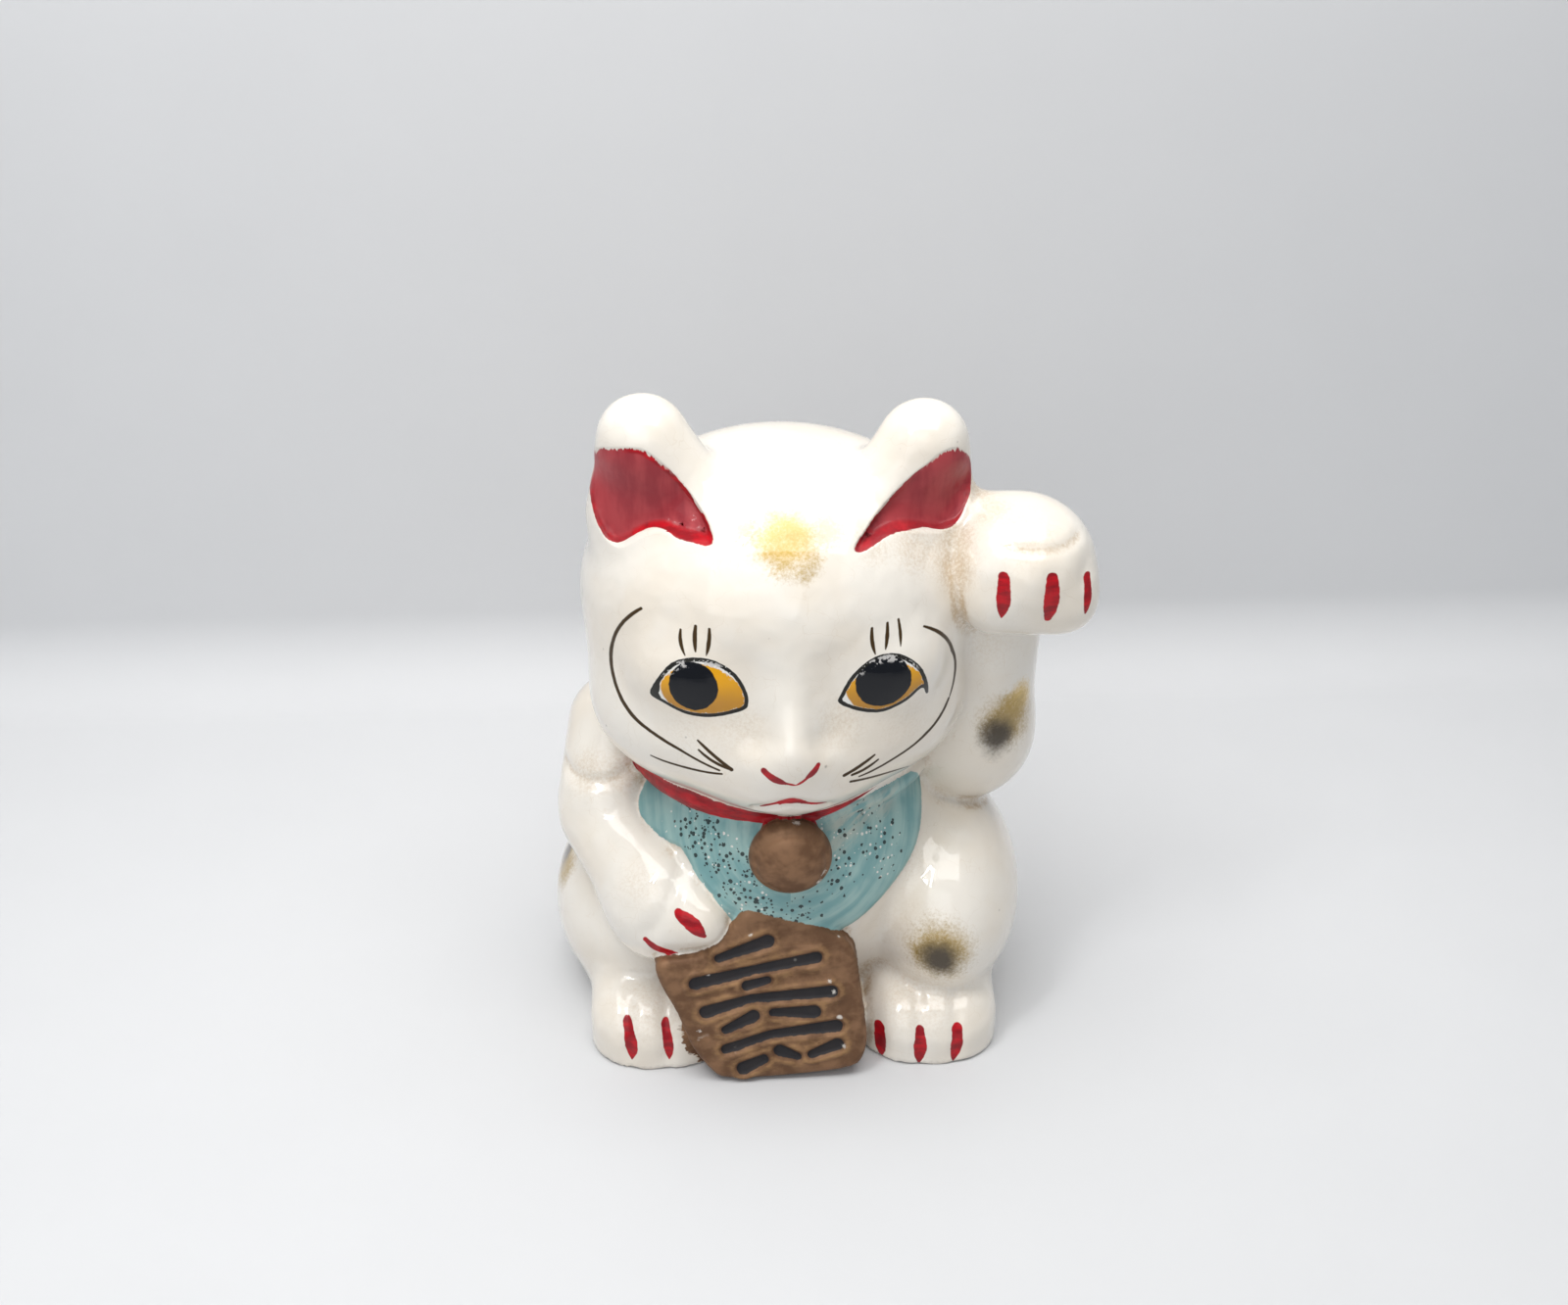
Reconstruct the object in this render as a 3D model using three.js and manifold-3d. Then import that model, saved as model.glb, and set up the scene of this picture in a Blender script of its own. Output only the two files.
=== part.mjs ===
// A beckoning cat coin bank: one hollow, slip-cast and glazed earthenware figure.
// Millimetres, Z up. The cat sits on z = 0 and looks along -Y, so +X is the side of its raised paw.
import * as THREE from 'three';
import { mergeVertices } from 'three/addons/utils/BufferGeometryUtils.js';
import Module from 'manifold-3d';

const wasm = await Module();
wasm.setup();

// The cast wall, the same all round, and the coin slot in the back of the head.
const WALL = 5;
const SLOT = { width: 38, height: 5.6, z: 142 };
const NECK_HOLLOW = { from: [0, -1, 76], to: [-1, -5, 106], radii: [29, 29] };

// Rounded masses of the figure: a centre and three half sizes.
const SKULL = { at: [-1.5, -2, 134], half: [58.5, 53, 46] };
const JAW = { at: [-2.5, -16, 105], half: [54.5, 41, 28] };
const MUZZLE = { at: [-1, -42, 99], half: [22, 19, 14] };
const CHIN = { at: [-1, -50, 91.3], half: [9, 8, 4.6] };
const RIGHT_EYE_SWELL = { at: [-27, -39, 127], half: [16, 12.2, 12] };
const LEFT_EYE_SWELL = { at: [25, -39, 127], half: [16, 12.2, 12] };
const TRUNK = { at: [0.5, 6, 42], half: [57.5, 52, 58] };
const CHEST = { at: [-1, -18, 56], half: [40, 36, 38] };
const RIGHT_HAUNCH = { at: [-42.9, 0, 25.2], half: [29.4, 40, 31.2] };
const LEFT_HAUNCH = { at: [46.5, -10, 35], half: [26, 45, 32] };
const RAISED_PAW = { at: [66.5, -18, 147], half: [21.8, 24, 19] };
const RAISED_TOES = [57.7, 70.9, 79.3].map((x) => ({ at: [x, -27, 139.5], half: [8.5, 11, 9.5] }));
const TAIL = { at: [0, 49, 19], half: [11, 8, 15] };
const BELL = { at: [-1, -54, 72], half: [12, 9, 11.5] };

// Limbs and the nose: from one ball to another, with a radius at each end.
const NOSE = { from: [-1, -44, 126], to: [-1, -57, 109], radii: [9, 8] };
const RIGHT_SHOULDER = { from: [-49.5, 4, 84], to: [-54.5, -9, 69], radii: [16.5, 14.5] };
const RIGHT_UPPER_ARM = { from: [-56.2, -14, 61.8], to: [-37, -36, 46.8], radii: [12.7, 17.1] };
const RIGHT_FOREARM = { from: [-37, -36, 46.8], to: [-26.5, -51, 48.9], radii: [17.1, 8] };
const LEFT_UPPER_ARM = { from: [38, 2, 86], to: [54, -2, 84], radii: [20, 21] };
const LEFT_FOREARM = { from: [54, -2, 84], to: [58, -4, 130], radii: [21, 19] };
// Clay left in the mould's joint between the raised paw and the ear.
const PAW_WEB = { from: [57, -15, 152], to: [50, -13, 160], radii: [12, 8] };

// An ear is a steep outer ball pair and a lower inner pair; x is mirrored for the right ear.
const EAR_OUTER = { from: [39, -8, 160], to: [40, -12, 184.5], radii: [16.5, 10.5] };
const EAR_INNER = { from: [24, -16, 164], to: [37, -13, 184], radii: [13, 11] };
const RIGHT_EAR_SHIFT = [-1.5, 0];
const LEFT_EAR_SHIFT = [0, -3];
// The red hollow of each ear seen from the front: x outward from the middle of the head, and z.
const RIGHT_EAR_HOLLOW = [
  [19.4, 163.6], [27, 163.1], [32.5, 163], [40.7, 159.9], [46.8, 156.9], [50.6, 159], [53.2, 164.6],
  [53.8, 171.4], [52.8, 178], [50.2, 183.7], [42.5, 185.9], [34.6, 183.8], [28, 177.3], [22.9, 170],
];
const LEFT_EAR_HOLLOW = [
  [17.7, 165], [26.4, 165.1], [33.7, 164], [42.6, 162.9], [47.9, 164.7], [51, 169.1],
  [52, 174.5], [51.8, 180], [49.5, 184.3], [46, 185.9], [40.4, 185.3], [33.7, 181.6], [27, 175],
];
const EAR_HOLLOW_DEPTH = 2.6;

// A foot is a low rounded block whose top slopes to the front, with a groove above each claw.
const FOOT = { half: [21, 27, 19], z: 2, corner: 17, edge: 11, slope: 0.16, level: 4, tall: 24 };
const RIGHT_FOOT = { at: [-40, -32], claws: [-49.4, -38] };
const LEFT_FOOT = { at: [41.5, -34], claws: [26, 37.5, 48.5] };
const CLAW_GROOVE = { wide: 3.6, deep: 1.2, from: 14, low: 3 };

// The coin plaque leans back against the belly; its outline is x and the height up the lean.
const PLAQUE_OUTLINE = [
  [-13.8, 54.7], [-6.3, 53.8], [3.2, 50.3], [12.7, 46.1], [16.3, 43.2], [18.6, 37], [20.7, 20.5],
  [21.4, 13.8], [20.4, 7.2], [16.6, 3.6], [4.4, 2], [-8.5, 1.2], [-19.8, 1.3], [-24.4, 3.4],
  [-30.6, 12], [-34.5, 22.5], [-39.6, 33], [-39.8, 39.4], [-28.5, 41.2], [-22.1, 45.6], [-17.8, 50.6],
];
const PLAQUE_FOOT_Y = -66.5;
const PLAQUE_LEAN = Math.atan(0.21);
const PLAQUE_THICK = 44;
const PLAQUE_BEVEL = 1.6;
// Sunk strokes in rows across the plaque. Each is a chain of points, across and up the lean, and
// its half width at each point.
const MARK_DEPTH = 0.9;
const MARKS = [
  { points: [[-22.2, 40.4], [-7.8, 45.4]], radii: [1.2, 2] },
  { points: [[-29, 32.6], [-12, 36.4], [6.4, 39.8]], radii: [1.9, 1.4, 1.7] },
  { points: [[-14, 31.5], [-8, 33]], radii: [1.5, 1.2] },
  { points: [[-26.2, 23.4], [-12.8, 27.3], [10.8, 28.8]], radii: [1.9, 1.3, 1.8] },
  { points: [[-20.6, 17.4], [-12.2, 21.6]], radii: [1.2, 1.9] },
  { points: [[-6.4, 22.6], [5.6, 22.4]], radii: [1.2, 2] },
  { points: [[-20.4, 11.2], [-7.5, 15.6], [12.2, 17.6]], radii: [1.5, 1.2, 1.9] },
  { points: [[-15.4, 4.8], [-9.4, 7.6]], radii: [2, 1.4] },
  { points: [[-4.6, 10.2], [0.6, 8]], radii: [1.8, 1.2] },
  { points: [[4.8, 8.6], [12.4, 11.6]], radii: [1.2, 1.9] },
];

// Collar: an oval band round the neck. Bib: a sheet on the chest with its own outline.
const COLLAR = { at: [-1, -2, 82.5], half: [47, 47.5], tall: 8, edge: 4 };
const BIB_OUTLINE = [
  [-43.6, 76], [-43, 73.4], [-39.9, 70.6], [-34.2, 67.6], [-27, 62], [-17, 51], [-13, 44], [0, 42.5],
  [14, 44], [23.4, 49.8], [33.3, 58.3], [38.3, 65.3], [39.6, 72.9], [38.8, 79], [35.5, 84.5], [-34, 84],
];
const BIB_RISE = 1;

// How wide the hollow curve is where two forms join.
const JOIN = { skull: 16, muzzle: 12, nose: 9, eyes: 8, ear: 8, chest: 14, haunch: 6, forearm: 8, toe: 6 };

// How far outlines seen from the front are run back, from y to y, and a size beyond the whole cat.
const EAR_RUN = [-60, -14];
const BIB_RUN = [-75, -12];
const SLOT_RUN = [30, 70];
const BEYOND = 300;

const vec = (list) => new THREE.Vector3(list[0], list[1], list[2]);

// Distances: below zero inside a form and above zero outside it.
function massDistance(mass) {
  const [cx, cy, cz] = mass.at;
  const [a, b, c] = mass.half;
  return (p) => {
    const x = p.x - cx;
    const y = p.y - cy;
    const z = p.z - cz;
    const near = Math.hypot(x / a, y / b, z / c);
    const slope = Math.hypot(x / (a * a), y / (b * b), z / (c * c));
    return slope > 1e-6 ? near * (near - 1) / slope : -Math.min(a, b, c);
  };
}

function limbDistance(limb) {
  const start = vec(limb.from);
  const along = vec(limb.to).sub(start);
  const length = along.length();
  along.normalize();
  const [r0, r1] = limb.radii;
  const lean = (r0 - r1) / length;
  const cosine = Math.sqrt(1 - lean * lean);
  const offset = new THREE.Vector3();
  return (p) => {
    offset.copy(p).sub(start);
    const u = offset.dot(along);
    const v = Math.sqrt(Math.max(offset.lengthSq() - u * u, 0));
    const k = u * cosine - v * lean;
    if (k < 0) {
      return Math.hypot(u, v) - r0;
    }
    if (k > length * cosine) {
      return Math.hypot(u - length, v) - r1;
    }
    return u * lean + v * cosine - r0;
  };
}

function blend(a, b, width) {
  return (p) => {
    const da = a(p);
    const db = b(p);
    const h = Math.max(width - Math.abs(da - db), 0) / width;
    return Math.min(da, db) - h * h * width * 0.25;
  };
}

function footBlock([x, y]) {
  const [a, b, c] = FOOT.half;
  return (p) => {
    const qx = Math.abs(p.x - x) - (a - FOOT.corner);
    const qy = Math.abs(p.y - y) - (b - FOOT.corner);
    const side = Math.hypot(Math.max(qx, 0), Math.max(qy, 0)) + Math.min(Math.max(qx, qy), 0)
      - FOOT.corner + FOOT.edge;
    const slope = FOOT.slope * Math.max(y - FOOT.level - p.y, 0);
    const up = Math.abs(p.z - FOOT.z) - c + slope + FOOT.edge;
    return Math.hypot(Math.max(side, 0), Math.max(up, 0)) + Math.min(Math.max(side, up), 0) - FOOT.edge;
  };
}

function earForm(side, [dx, dz]) {
  const place = (limb) => ({
    from: [side * limb.from[0] + dx, limb.from[1], limb.from[2] + dz],
    to: [side * limb.to[0] + dx, limb.to[1], limb.to[2] + dz],
    radii: limb.radii,
  });
  return blend(limbDistance(place(EAR_OUTER)), limbDistance(place(EAR_INNER)), JOIN.ear);
}

// A sphere whose vertices travel straight out from its centre until they meet a form's skin,
// or the skin set in or out by `level`.
function swell(form, centre, around, rings, level = 0) {
  const geometry = new THREE.SphereGeometry(1, around, rings);
  const position = geometry.attributes.position;
  const start = vec(centre);
  const direction = new THREE.Vector3();
  const probe = new THREE.Vector3();
  const stepOut = 1.5;
  const halvings = 14;
  for (let i = 0; i < position.count; i += 1) {
    direction.fromBufferAttribute(position, i).normalize();
    let reach = 0;
    while (form(probe.copy(direction).multiplyScalar(reach).add(start)) < level) {
      reach += stepOut;
    }
    let low = reach - stepOut;
    for (let n = 0; n < halvings; n += 1) {
      const middle = (low + reach) / 2;
      if (form(probe.copy(direction).multiplyScalar(middle).add(start)) < level) {
        low = middle;
      } else {
        reach = middle;
      }
    }
    probe.copy(direction).multiplyScalar(reach).add(start);
    position.setXYZ(i, probe.x, probe.y, probe.z);
  }
  return geometry;
}

function toSolid(geometry) {
  const bare = geometry.clone();
  bare.deleteAttribute('normal');
  bare.deleteAttribute('uv');
  const merged = mergeVertices(bare, 1e-4);
  return new wasm.Manifold(new wasm.Mesh({
    numProp: 3,
    vertProperties: new Float32Array(merged.attributes.position.array),
    triVerts: new Uint32Array(merged.index.array),
  }));
}

function toGeometry(solid) {
  const mesh = solid.getMesh();
  const geometry = new THREE.BufferGeometry();
  geometry.setAttribute('position', new THREE.BufferAttribute(mesh.vertProperties.slice(), 3));
  geometry.setIndex(new THREE.BufferAttribute(mesh.triVerts.slice(), 1));
  geometry.computeVertexNormals();
  return geometry;
}

const outline = (points) => new THREE.Shape(points.map(([x, z]) => new THREE.Vector2(x, z)));

// An outline drawn in x and z, run along Y between two depths.
function runAlongY(points, front, back) {
  const geometry = new THREE.ExtrudeGeometry(outline(points), { depth: back - front, bevelEnabled: false });
  geometry.rotateX(Math.PI / 2);
  geometry.translate(0, back, 0);
  return geometry;
}

function plaque() {
  const depth = PLAQUE_THICK - 2 * PLAQUE_BEVEL;
  const geometry = new THREE.ExtrudeGeometry(outline(PLAQUE_OUTLINE), {
    depth,
    bevelThickness: PLAQUE_BEVEL,
    bevelSize: PLAQUE_BEVEL,
    bevelOffset: -PLAQUE_BEVEL,
    bevelSegments: 2,
  });
  geometry.translate(0, 0, -depth - PLAQUE_BEVEL);
  return geometry;
}

// One straight part of a stroke, with a round end of its own radius at each end.
function strokePart([x0, z0], [x1, z1], start, end) {
  const length = Math.hypot(x1 - x0, z1 - z0);
  const shape = new THREE.Shape();
  shape.moveTo(0, -start);
  shape.lineTo(length, -end);
  shape.absarc(length, 0, end, -Math.PI / 2, Math.PI / 2, false);
  shape.lineTo(0, start);
  shape.absarc(0, 0, start, Math.PI / 2, Math.PI * 1.5, false);
  const geometry = new THREE.ExtrudeGeometry(shape, {
    depth: MARK_DEPTH * 2,
    bevelEnabled: false,
    curveSegments: 2,
  });
  geometry.rotateZ(Math.atan2(z1 - z0, x1 - x0));
  geometry.translate(x0, z0, -MARK_DEPTH);
  return geometry;
}

// The plaque is drawn flat, front up, then stood up and leant back on its foot.
function standPlaque(geometry) {
  geometry.rotateX(Math.PI / 2 - PLAQUE_LEAN);
  geometry.translate(0, PLAQUE_FOOT_Y, 0);
  return geometry;
}

// The collar is solid through to the neck it is cast with, and its rim is rounded.
function collar() {
  const profile = [new THREE.Vector2(0, -COLLAR.tall / 2)];
  const steps = 5;
  for (let n = 0; n <= steps; n += 1) {
    const angle = -Math.PI / 2 + n * Math.PI / steps;
    profile.push(new THREE.Vector2(
      COLLAR.half[0] + COLLAR.edge * (Math.cos(angle) - 1),
      COLLAR.tall / 2 * Math.sin(angle),
    ));
  }
  profile.push(new THREE.Vector2(0, COLLAR.tall / 2));
  const geometry = new THREE.LatheGeometry(profile, 32);
  geometry.rotateX(Math.PI / 2);
  geometry.scale(1, COLLAR.half[1] / COLLAR.half[0], 1);
  geometry.translate(...COLLAR.at);
  return geometry;
}

// The forms of the body and the head.
const trunk = [RIGHT_HAUNCH, LEFT_HAUNCH].reduce(
  (form, haunch) => blend(form, massDistance(haunch), JOIN.haunch),
  blend(massDistance(TRUNK), massDistance(CHEST), JOIN.chest),
);
const head = [RIGHT_EYE_SWELL, LEFT_EYE_SWELL].reduce(
  (form, eye) => blend(form, massDistance(eye), JOIN.eyes),
  blend(
    blend(blend(massDistance(SKULL), massDistance(JAW), JOIN.skull), massDistance(MUZZLE), JOIN.muzzle),
    limbDistance(NOSE),
    JOIN.nose,
  ),
);
const raisedPaw = RAISED_TOES.reduce(
  (form, toe) => blend(form, massDistance(toe), JOIN.toe),
  massDistance(RAISED_PAW),
);
const loweredArm = blend(limbDistance(RIGHT_UPPER_ARM), limbDistance(RIGHT_FOREARM), JOIN.forearm);
const TRUNK_CENTRE = [0, 0, 44];
const HEAD_CENTRE = [-1.5, -8, 122];

function foot({ at: [x, y], claws }) {
  const form = footBlock([x, y]);
  const centre = [x, y - FOOT.level, FOOT.z + FOOT.level];
  const inner = toSolid(swell(form, centre, 18, 12, -CLAW_GROOVE.deep));
  const length = FOOT.half[1];
  let solid = toSolid(swell(form, centre, 18, 12));
  for (const claw of claws) {
    const slab = new THREE.BoxGeometry(CLAW_GROOVE.wide, length, FOOT.tall);
    slab.translate(claw, y - CLAW_GROOVE.from - length / 2, CLAW_GROOVE.low + FOOT.tall / 2);
    solid = solid.subtract(toSolid(slab).subtract(inner));
  }
  return solid;
}

// The outer skin is joined from every mass, limb and applied ornament.
const skinParts = [
  swell(trunk, TRUNK_CENTRE, 32, 22),
  swell(head, HEAD_CENTRE, 36, 26),
  swell(earForm(-1, RIGHT_EAR_SHIFT), [-37, -12, 172], 16, 12),
  swell(earForm(1, LEFT_EAR_SHIFT), [35.5, -12, 169], 16, 12),
  swell(limbDistance(RIGHT_SHOULDER), [-52, -3, 76], 14, 9),
  swell(loweredArm, [-44, -37, 54], 16, 12),
  swell(limbDistance(LEFT_UPPER_ARM), [46, 0, 85], 11, 9),
  swell(limbDistance(LEFT_FOREARM), [56, -3, 107], 14, 12),
  swell(raisedPaw, RAISED_PAW.at, 18, 12),
  swell(limbDistance(PAW_WEB), PAW_WEB.from, 10, 7),
  swell(massDistance(CHIN), CHIN.at, 11, 6),
  swell(massDistance(TAIL), TAIL.at, 10, 7),
  swell(massDistance(BELL), BELL.at, 13, 8),
  collar(),
  standPlaque(plaque()),
];
let skin = wasm.Manifold.union([...skinParts.map(toSolid), foot(RIGHT_FOOT), foot(LEFT_FOOT)]);

// The bib stands proud of the chest by its own thickness.
const bib = toSolid(swell(trunk, TRUNK_CENTRE, 32, 22, BIB_RISE))
  .intersect(toSolid(runAlongY(BIB_OUTLINE, ...BIB_RUN)));
skin = skin.add(bib);

// The red hollow of each ear is a shallow step in its front face.
for (const [side, [dx, dz], hollowOutline] of [
  [-1, RIGHT_EAR_SHIFT, RIGHT_EAR_HOLLOW],
  [1, LEFT_EAR_SHIFT, LEFT_EAR_HOLLOW],
]) {
  const points = hollowOutline.map(([x, z]) => [side * x + dx, z + dz]);
  if (side > 0) {
    points.reverse();
  }
  const earCentre = [side * 37 + dx, -12, 172 + dz];
  const sunk = toSolid(swell(earForm(side, [dx, dz]), earCentre, 16, 12, -EAR_HOLLOW_DEPTH));
  const front = toSolid(runAlongY(points, ...EAR_RUN));
  const headCore = toSolid(swell(head, HEAD_CENTRE, 36, 26, -EAR_HOLLOW_DEPTH));
  skin = skin.subtract(front.subtract(sunk).subtract(headCore));
}

for (const { points, radii } of MARKS) {
  for (let n = 1; n < points.length; n += 1) {
    const part = strokePart(points[n - 1], points[n], radii[n - 1], radii[n]);
    skin = skin.subtract(toSolid(standPlaque(part)));
  }
}

// The cast is open inside: a body hollow and a head hollow that meet at the neck.
const bodyHollow = toSolid(swell(trunk, TRUNK_CENTRE, 14, 11, -WALL));
const headHollow = toSolid(swell(head, HEAD_CENTRE, 14, 11, -WALL));
const underFloor = toSolid(new THREE.BoxGeometry(BEYOND, BEYOND, BEYOND).translate(0, 0, WALL - BEYOND / 2));
const neckHollow = toSolid(swell(limbDistance(NECK_HOLLOW), [0, -3, 91], 17, 11));
const hollow = bodyHollow.add(headHollow).add(neckHollow).subtract(underFloor);

const slotOutline = [];
const slotRadius = SLOT.height / 2;
for (const side of [1, -1]) {
  for (let step = 0; step <= 4; step += 1) {
    const angle = side > 0 ? -Math.PI / 2 + step * Math.PI / 4 : Math.PI / 2 + step * Math.PI / 4;
    slotOutline.push([
      side * (SLOT.width / 2 - slotRadius) + slotRadius * Math.cos(angle),
      SLOT.z + slotRadius * Math.sin(angle),
    ]);
  }
}
const slot = toSolid(runAlongY(slotOutline, ...SLOT_RUN));

// The foot of the cast is cut flat, so that it stands by its own weight.
const ground = toSolid(new THREE.BoxGeometry(BEYOND, BEYOND, BEYOND).translate(0, 0, -BEYOND / 2));
const cast = skin.subtract(hollow).subtract(slot).subtract(ground);

const glaze = new THREE.MeshStandardMaterial({ color: 0xece4d6, roughness: 0.12, metalness: 0 });
const bank = new THREE.Mesh(toGeometry(cast), glaze);
bank.name = 'cat_bank';

const figure = new THREE.Group();
figure.add(bank);

export default figure;
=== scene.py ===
# %% [markdown]
# # A beckoning cat coin bank
# The object is a slip-cast earthenware cat, a hand wide and two tall. White glaze covers it, and a
# few colours were brushed and sprayed on: red in the ears and on the collar, a teal bib, a brown
# bell and plaque, black and amber eyes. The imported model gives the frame. This lesson dresses it:
# first a fine skin, then the paints, then a plain studio.

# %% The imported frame
import math

import bpy
import numpy as np
from mathutils import Matrix, Vector


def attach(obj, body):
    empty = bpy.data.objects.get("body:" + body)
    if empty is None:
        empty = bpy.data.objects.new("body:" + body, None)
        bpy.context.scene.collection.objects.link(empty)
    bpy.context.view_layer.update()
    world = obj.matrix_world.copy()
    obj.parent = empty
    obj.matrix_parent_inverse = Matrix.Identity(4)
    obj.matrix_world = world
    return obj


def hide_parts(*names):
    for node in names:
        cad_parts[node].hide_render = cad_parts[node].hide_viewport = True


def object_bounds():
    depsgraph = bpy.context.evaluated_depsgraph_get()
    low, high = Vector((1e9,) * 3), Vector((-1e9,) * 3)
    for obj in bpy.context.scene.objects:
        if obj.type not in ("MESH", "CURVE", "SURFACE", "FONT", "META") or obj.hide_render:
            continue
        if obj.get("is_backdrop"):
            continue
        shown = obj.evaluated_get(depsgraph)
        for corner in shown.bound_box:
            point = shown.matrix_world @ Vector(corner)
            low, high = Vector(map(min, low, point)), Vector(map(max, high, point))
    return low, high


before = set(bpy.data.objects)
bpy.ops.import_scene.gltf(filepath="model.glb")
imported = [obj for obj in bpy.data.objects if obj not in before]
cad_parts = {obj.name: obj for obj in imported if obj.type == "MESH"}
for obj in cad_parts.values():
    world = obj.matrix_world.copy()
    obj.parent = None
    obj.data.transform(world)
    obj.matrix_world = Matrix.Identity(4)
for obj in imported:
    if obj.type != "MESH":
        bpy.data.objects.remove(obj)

CAD_BOX = [list(corner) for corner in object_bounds()]
print("box of the packed model in mm", [[round(v * 1000, 1) for v in c] for c in CAD_BOX])

# %% [markdown]
# ## The camera
# The picture was taken from a little above, a bit over half a metre away. A camera can be aimed by
# eye, but its place was worked out instead: the tilt comes from how the upright lines lean, and the
# distance from how the foot and the head differ in scale. So each form can be compared in place.

# %% Camera
MM = 0.001
PICTURE_WIDTH = 1600
FOCAL_PIXELS = 2092
SENSOR_WIDTH = 36.0
CAMERA_TURN = math.radians(-3.0)
CAMERA_TILT = math.radians(28.0)
CAMERA_AWAY = 545 * MM
CAMERA_UP = 399 * MM

camera_data = bpy.data.cameras.new("camera")
camera_data.sensor_width = SENSOR_WIDTH
camera_data.lens = FOCAL_PIXELS * SENSOR_WIDTH / PICTURE_WIDTH
camera = bpy.data.objects.new("camera", camera_data)
camera.location = (math.sin(CAMERA_TURN) * CAMERA_AWAY, -math.cos(CAMERA_TURN) * CAMERA_AWAY, CAMERA_UP)
camera.rotation_euler = (math.pi / 2 - CAMERA_TILT, 0, CAMERA_TURN)
bpy.context.scene.collection.objects.link(camera)
bpy.context.scene.camera = camera
print("lens", round(camera_data.lens, 1), "mm")

# %% [markdown]
# ## A form as a distance
# A slip-cast figure has no edges that a modeller could extrude: every form flows into the next,
# and the glaze softens what is left. It could be sculpted, or built with subdivision surfaces.
# Here each form is a function that tells how far a point lies from it, below zero inside. Two
# such functions blend with one line, and the blend's width is the radius that a thumb would leave.


# %% Distances to simple forms
def mass(p, at, half):
    """How far the points p are from an egg-shaped mass. All lengths of the forms are millimetres."""
    x, y, z = (p[i] - at[i] for i in range(3))
    a, b, c = half
    near = np.sqrt((x / a) ** 2 + (y / b) ** 2 + (z / c) ** 2)
    slope = np.sqrt((x / a**2) ** 2 + (y / b**2) ** 2 + (z / c**2) ** 2)
    return near * (near - 1) / np.maximum(slope, 1e-6)


def limb(p, start, end, radii):
    """How far the points p are from a round limb that goes from one radius to another."""
    start, end = np.array(start, float), np.array(end, float)
    length = float(np.linalg.norm(end - start))
    along = (end - start) / length
    r0, r1 = radii
    lean = (r0 - r1) / length
    cosine = math.sqrt(1 - lean * lean)
    q = [p[i] - start[i] for i in range(3)]
    u = sum(q[i] * along[i] for i in range(3))
    v = np.sqrt(np.maximum(sum(w * w for w in q) - u * u, 0))
    k = u * cosine - v * lean
    side = u * lean + v * cosine - r0
    return np.where(k < 0, np.hypot(u, v) - r0, np.where(k > length * cosine, np.hypot(u - length, v) - r1, side))


def rounded(side, up, edge):
    """A block's distance from its distances across and upwards, with its edge rounded."""
    side, up = side + edge, up + edge
    return np.hypot(np.maximum(side, 0), np.maximum(up, 0)) + np.minimum(np.maximum(side, up), 0) - edge


# %% Ways to join forms
def blend(a, b, width):
    """Two forms made one, with a hollow curve of that width where they meet."""
    h = np.maximum(width - np.abs(a - b), 0) / width
    return np.minimum(a, b) - h * h * width * 0.25


def carve(a, tool, width):
    """The first form without the second, with a rounded edge."""
    return -blend(-a, tool, width)


def rise(value, start, end):
    """A soft step from 0 at start to 1 at end."""
    t = np.clip((value - start) / (end - start), 0, 1)
    return t * t * (3 - 2 * t)


# %% [markdown]
# ## Lines drawn on the front
# Ears, bib, plaque and eyes have outlines that a brush or a tool drew on the front of the cat.
# Each is a short list of points seen from the front, with a smooth line run through them. The
# distance to that line does three jobs: it cuts the relief, it tells the paint where to stop, and
# it tells the mesh where it must be fine.


# %% Outlines and strokes
def smooth_line(points, steps=6, closed=True):
    """Points of a smooth line through the given ones."""
    given = np.array(points, float)
    ends = given if closed else np.vstack([2 * given[0] - given[1], given, 2 * given[-1] - given[-2]])
    count = len(given) if closed else len(given) - 1
    line = []
    for n in range(count):
        a, b, c, d = (ends[(n + k - 1) % len(given)] if closed else ends[n + k] for k in range(4))
        for t in np.arange(steps) / steps:
            line.append(0.5 * (2 * b + (c - a) * t + (2 * a - 5 * b + 4 * c - d) * t**2 + (3 * b - a - 3 * c + d) * t**3))
    return np.array(line if closed else line + [given[-1]])


def outline_distance(x, z, outline):
    """How far points are from a closed outline, below zero inside it."""
    nearest = np.full(np.shape(x), 1e9)
    sign = np.ones(np.shape(x))
    for a, b in zip(outline, np.roll(outline, -1, axis=0)):
        e = b - a
        wx, wz = x - a[0], z - a[1]
        t = np.clip((wx * e[0] + wz * e[1]) / (e @ e), 0, 1)
        nearest = np.minimum(nearest, (wx - e[0] * t) ** 2 + (wz - e[1] * t) ** 2)
        up, down, left = z >= a[1], z < b[1], e[0] * wz > e[1] * wx
        sign = np.where((up & down & left) | (~up & ~down & ~left), -sign, sign)
    return sign * np.sqrt(nearest)


def near_outline(x, z, outline, reach):
    """The outline's distance where the points come within reach of it, and a far value elsewhere."""
    low, high = outline.min(axis=0) - reach, outline.max(axis=0) + reach
    near = (x > low[0]) & (x < high[0]) & (z > low[1]) & (z < high[1])
    result = np.full(np.shape(x), float(reach))
    result[near] = np.minimum(outline_distance(x[near], z[near], outline), reach)
    return result


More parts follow.
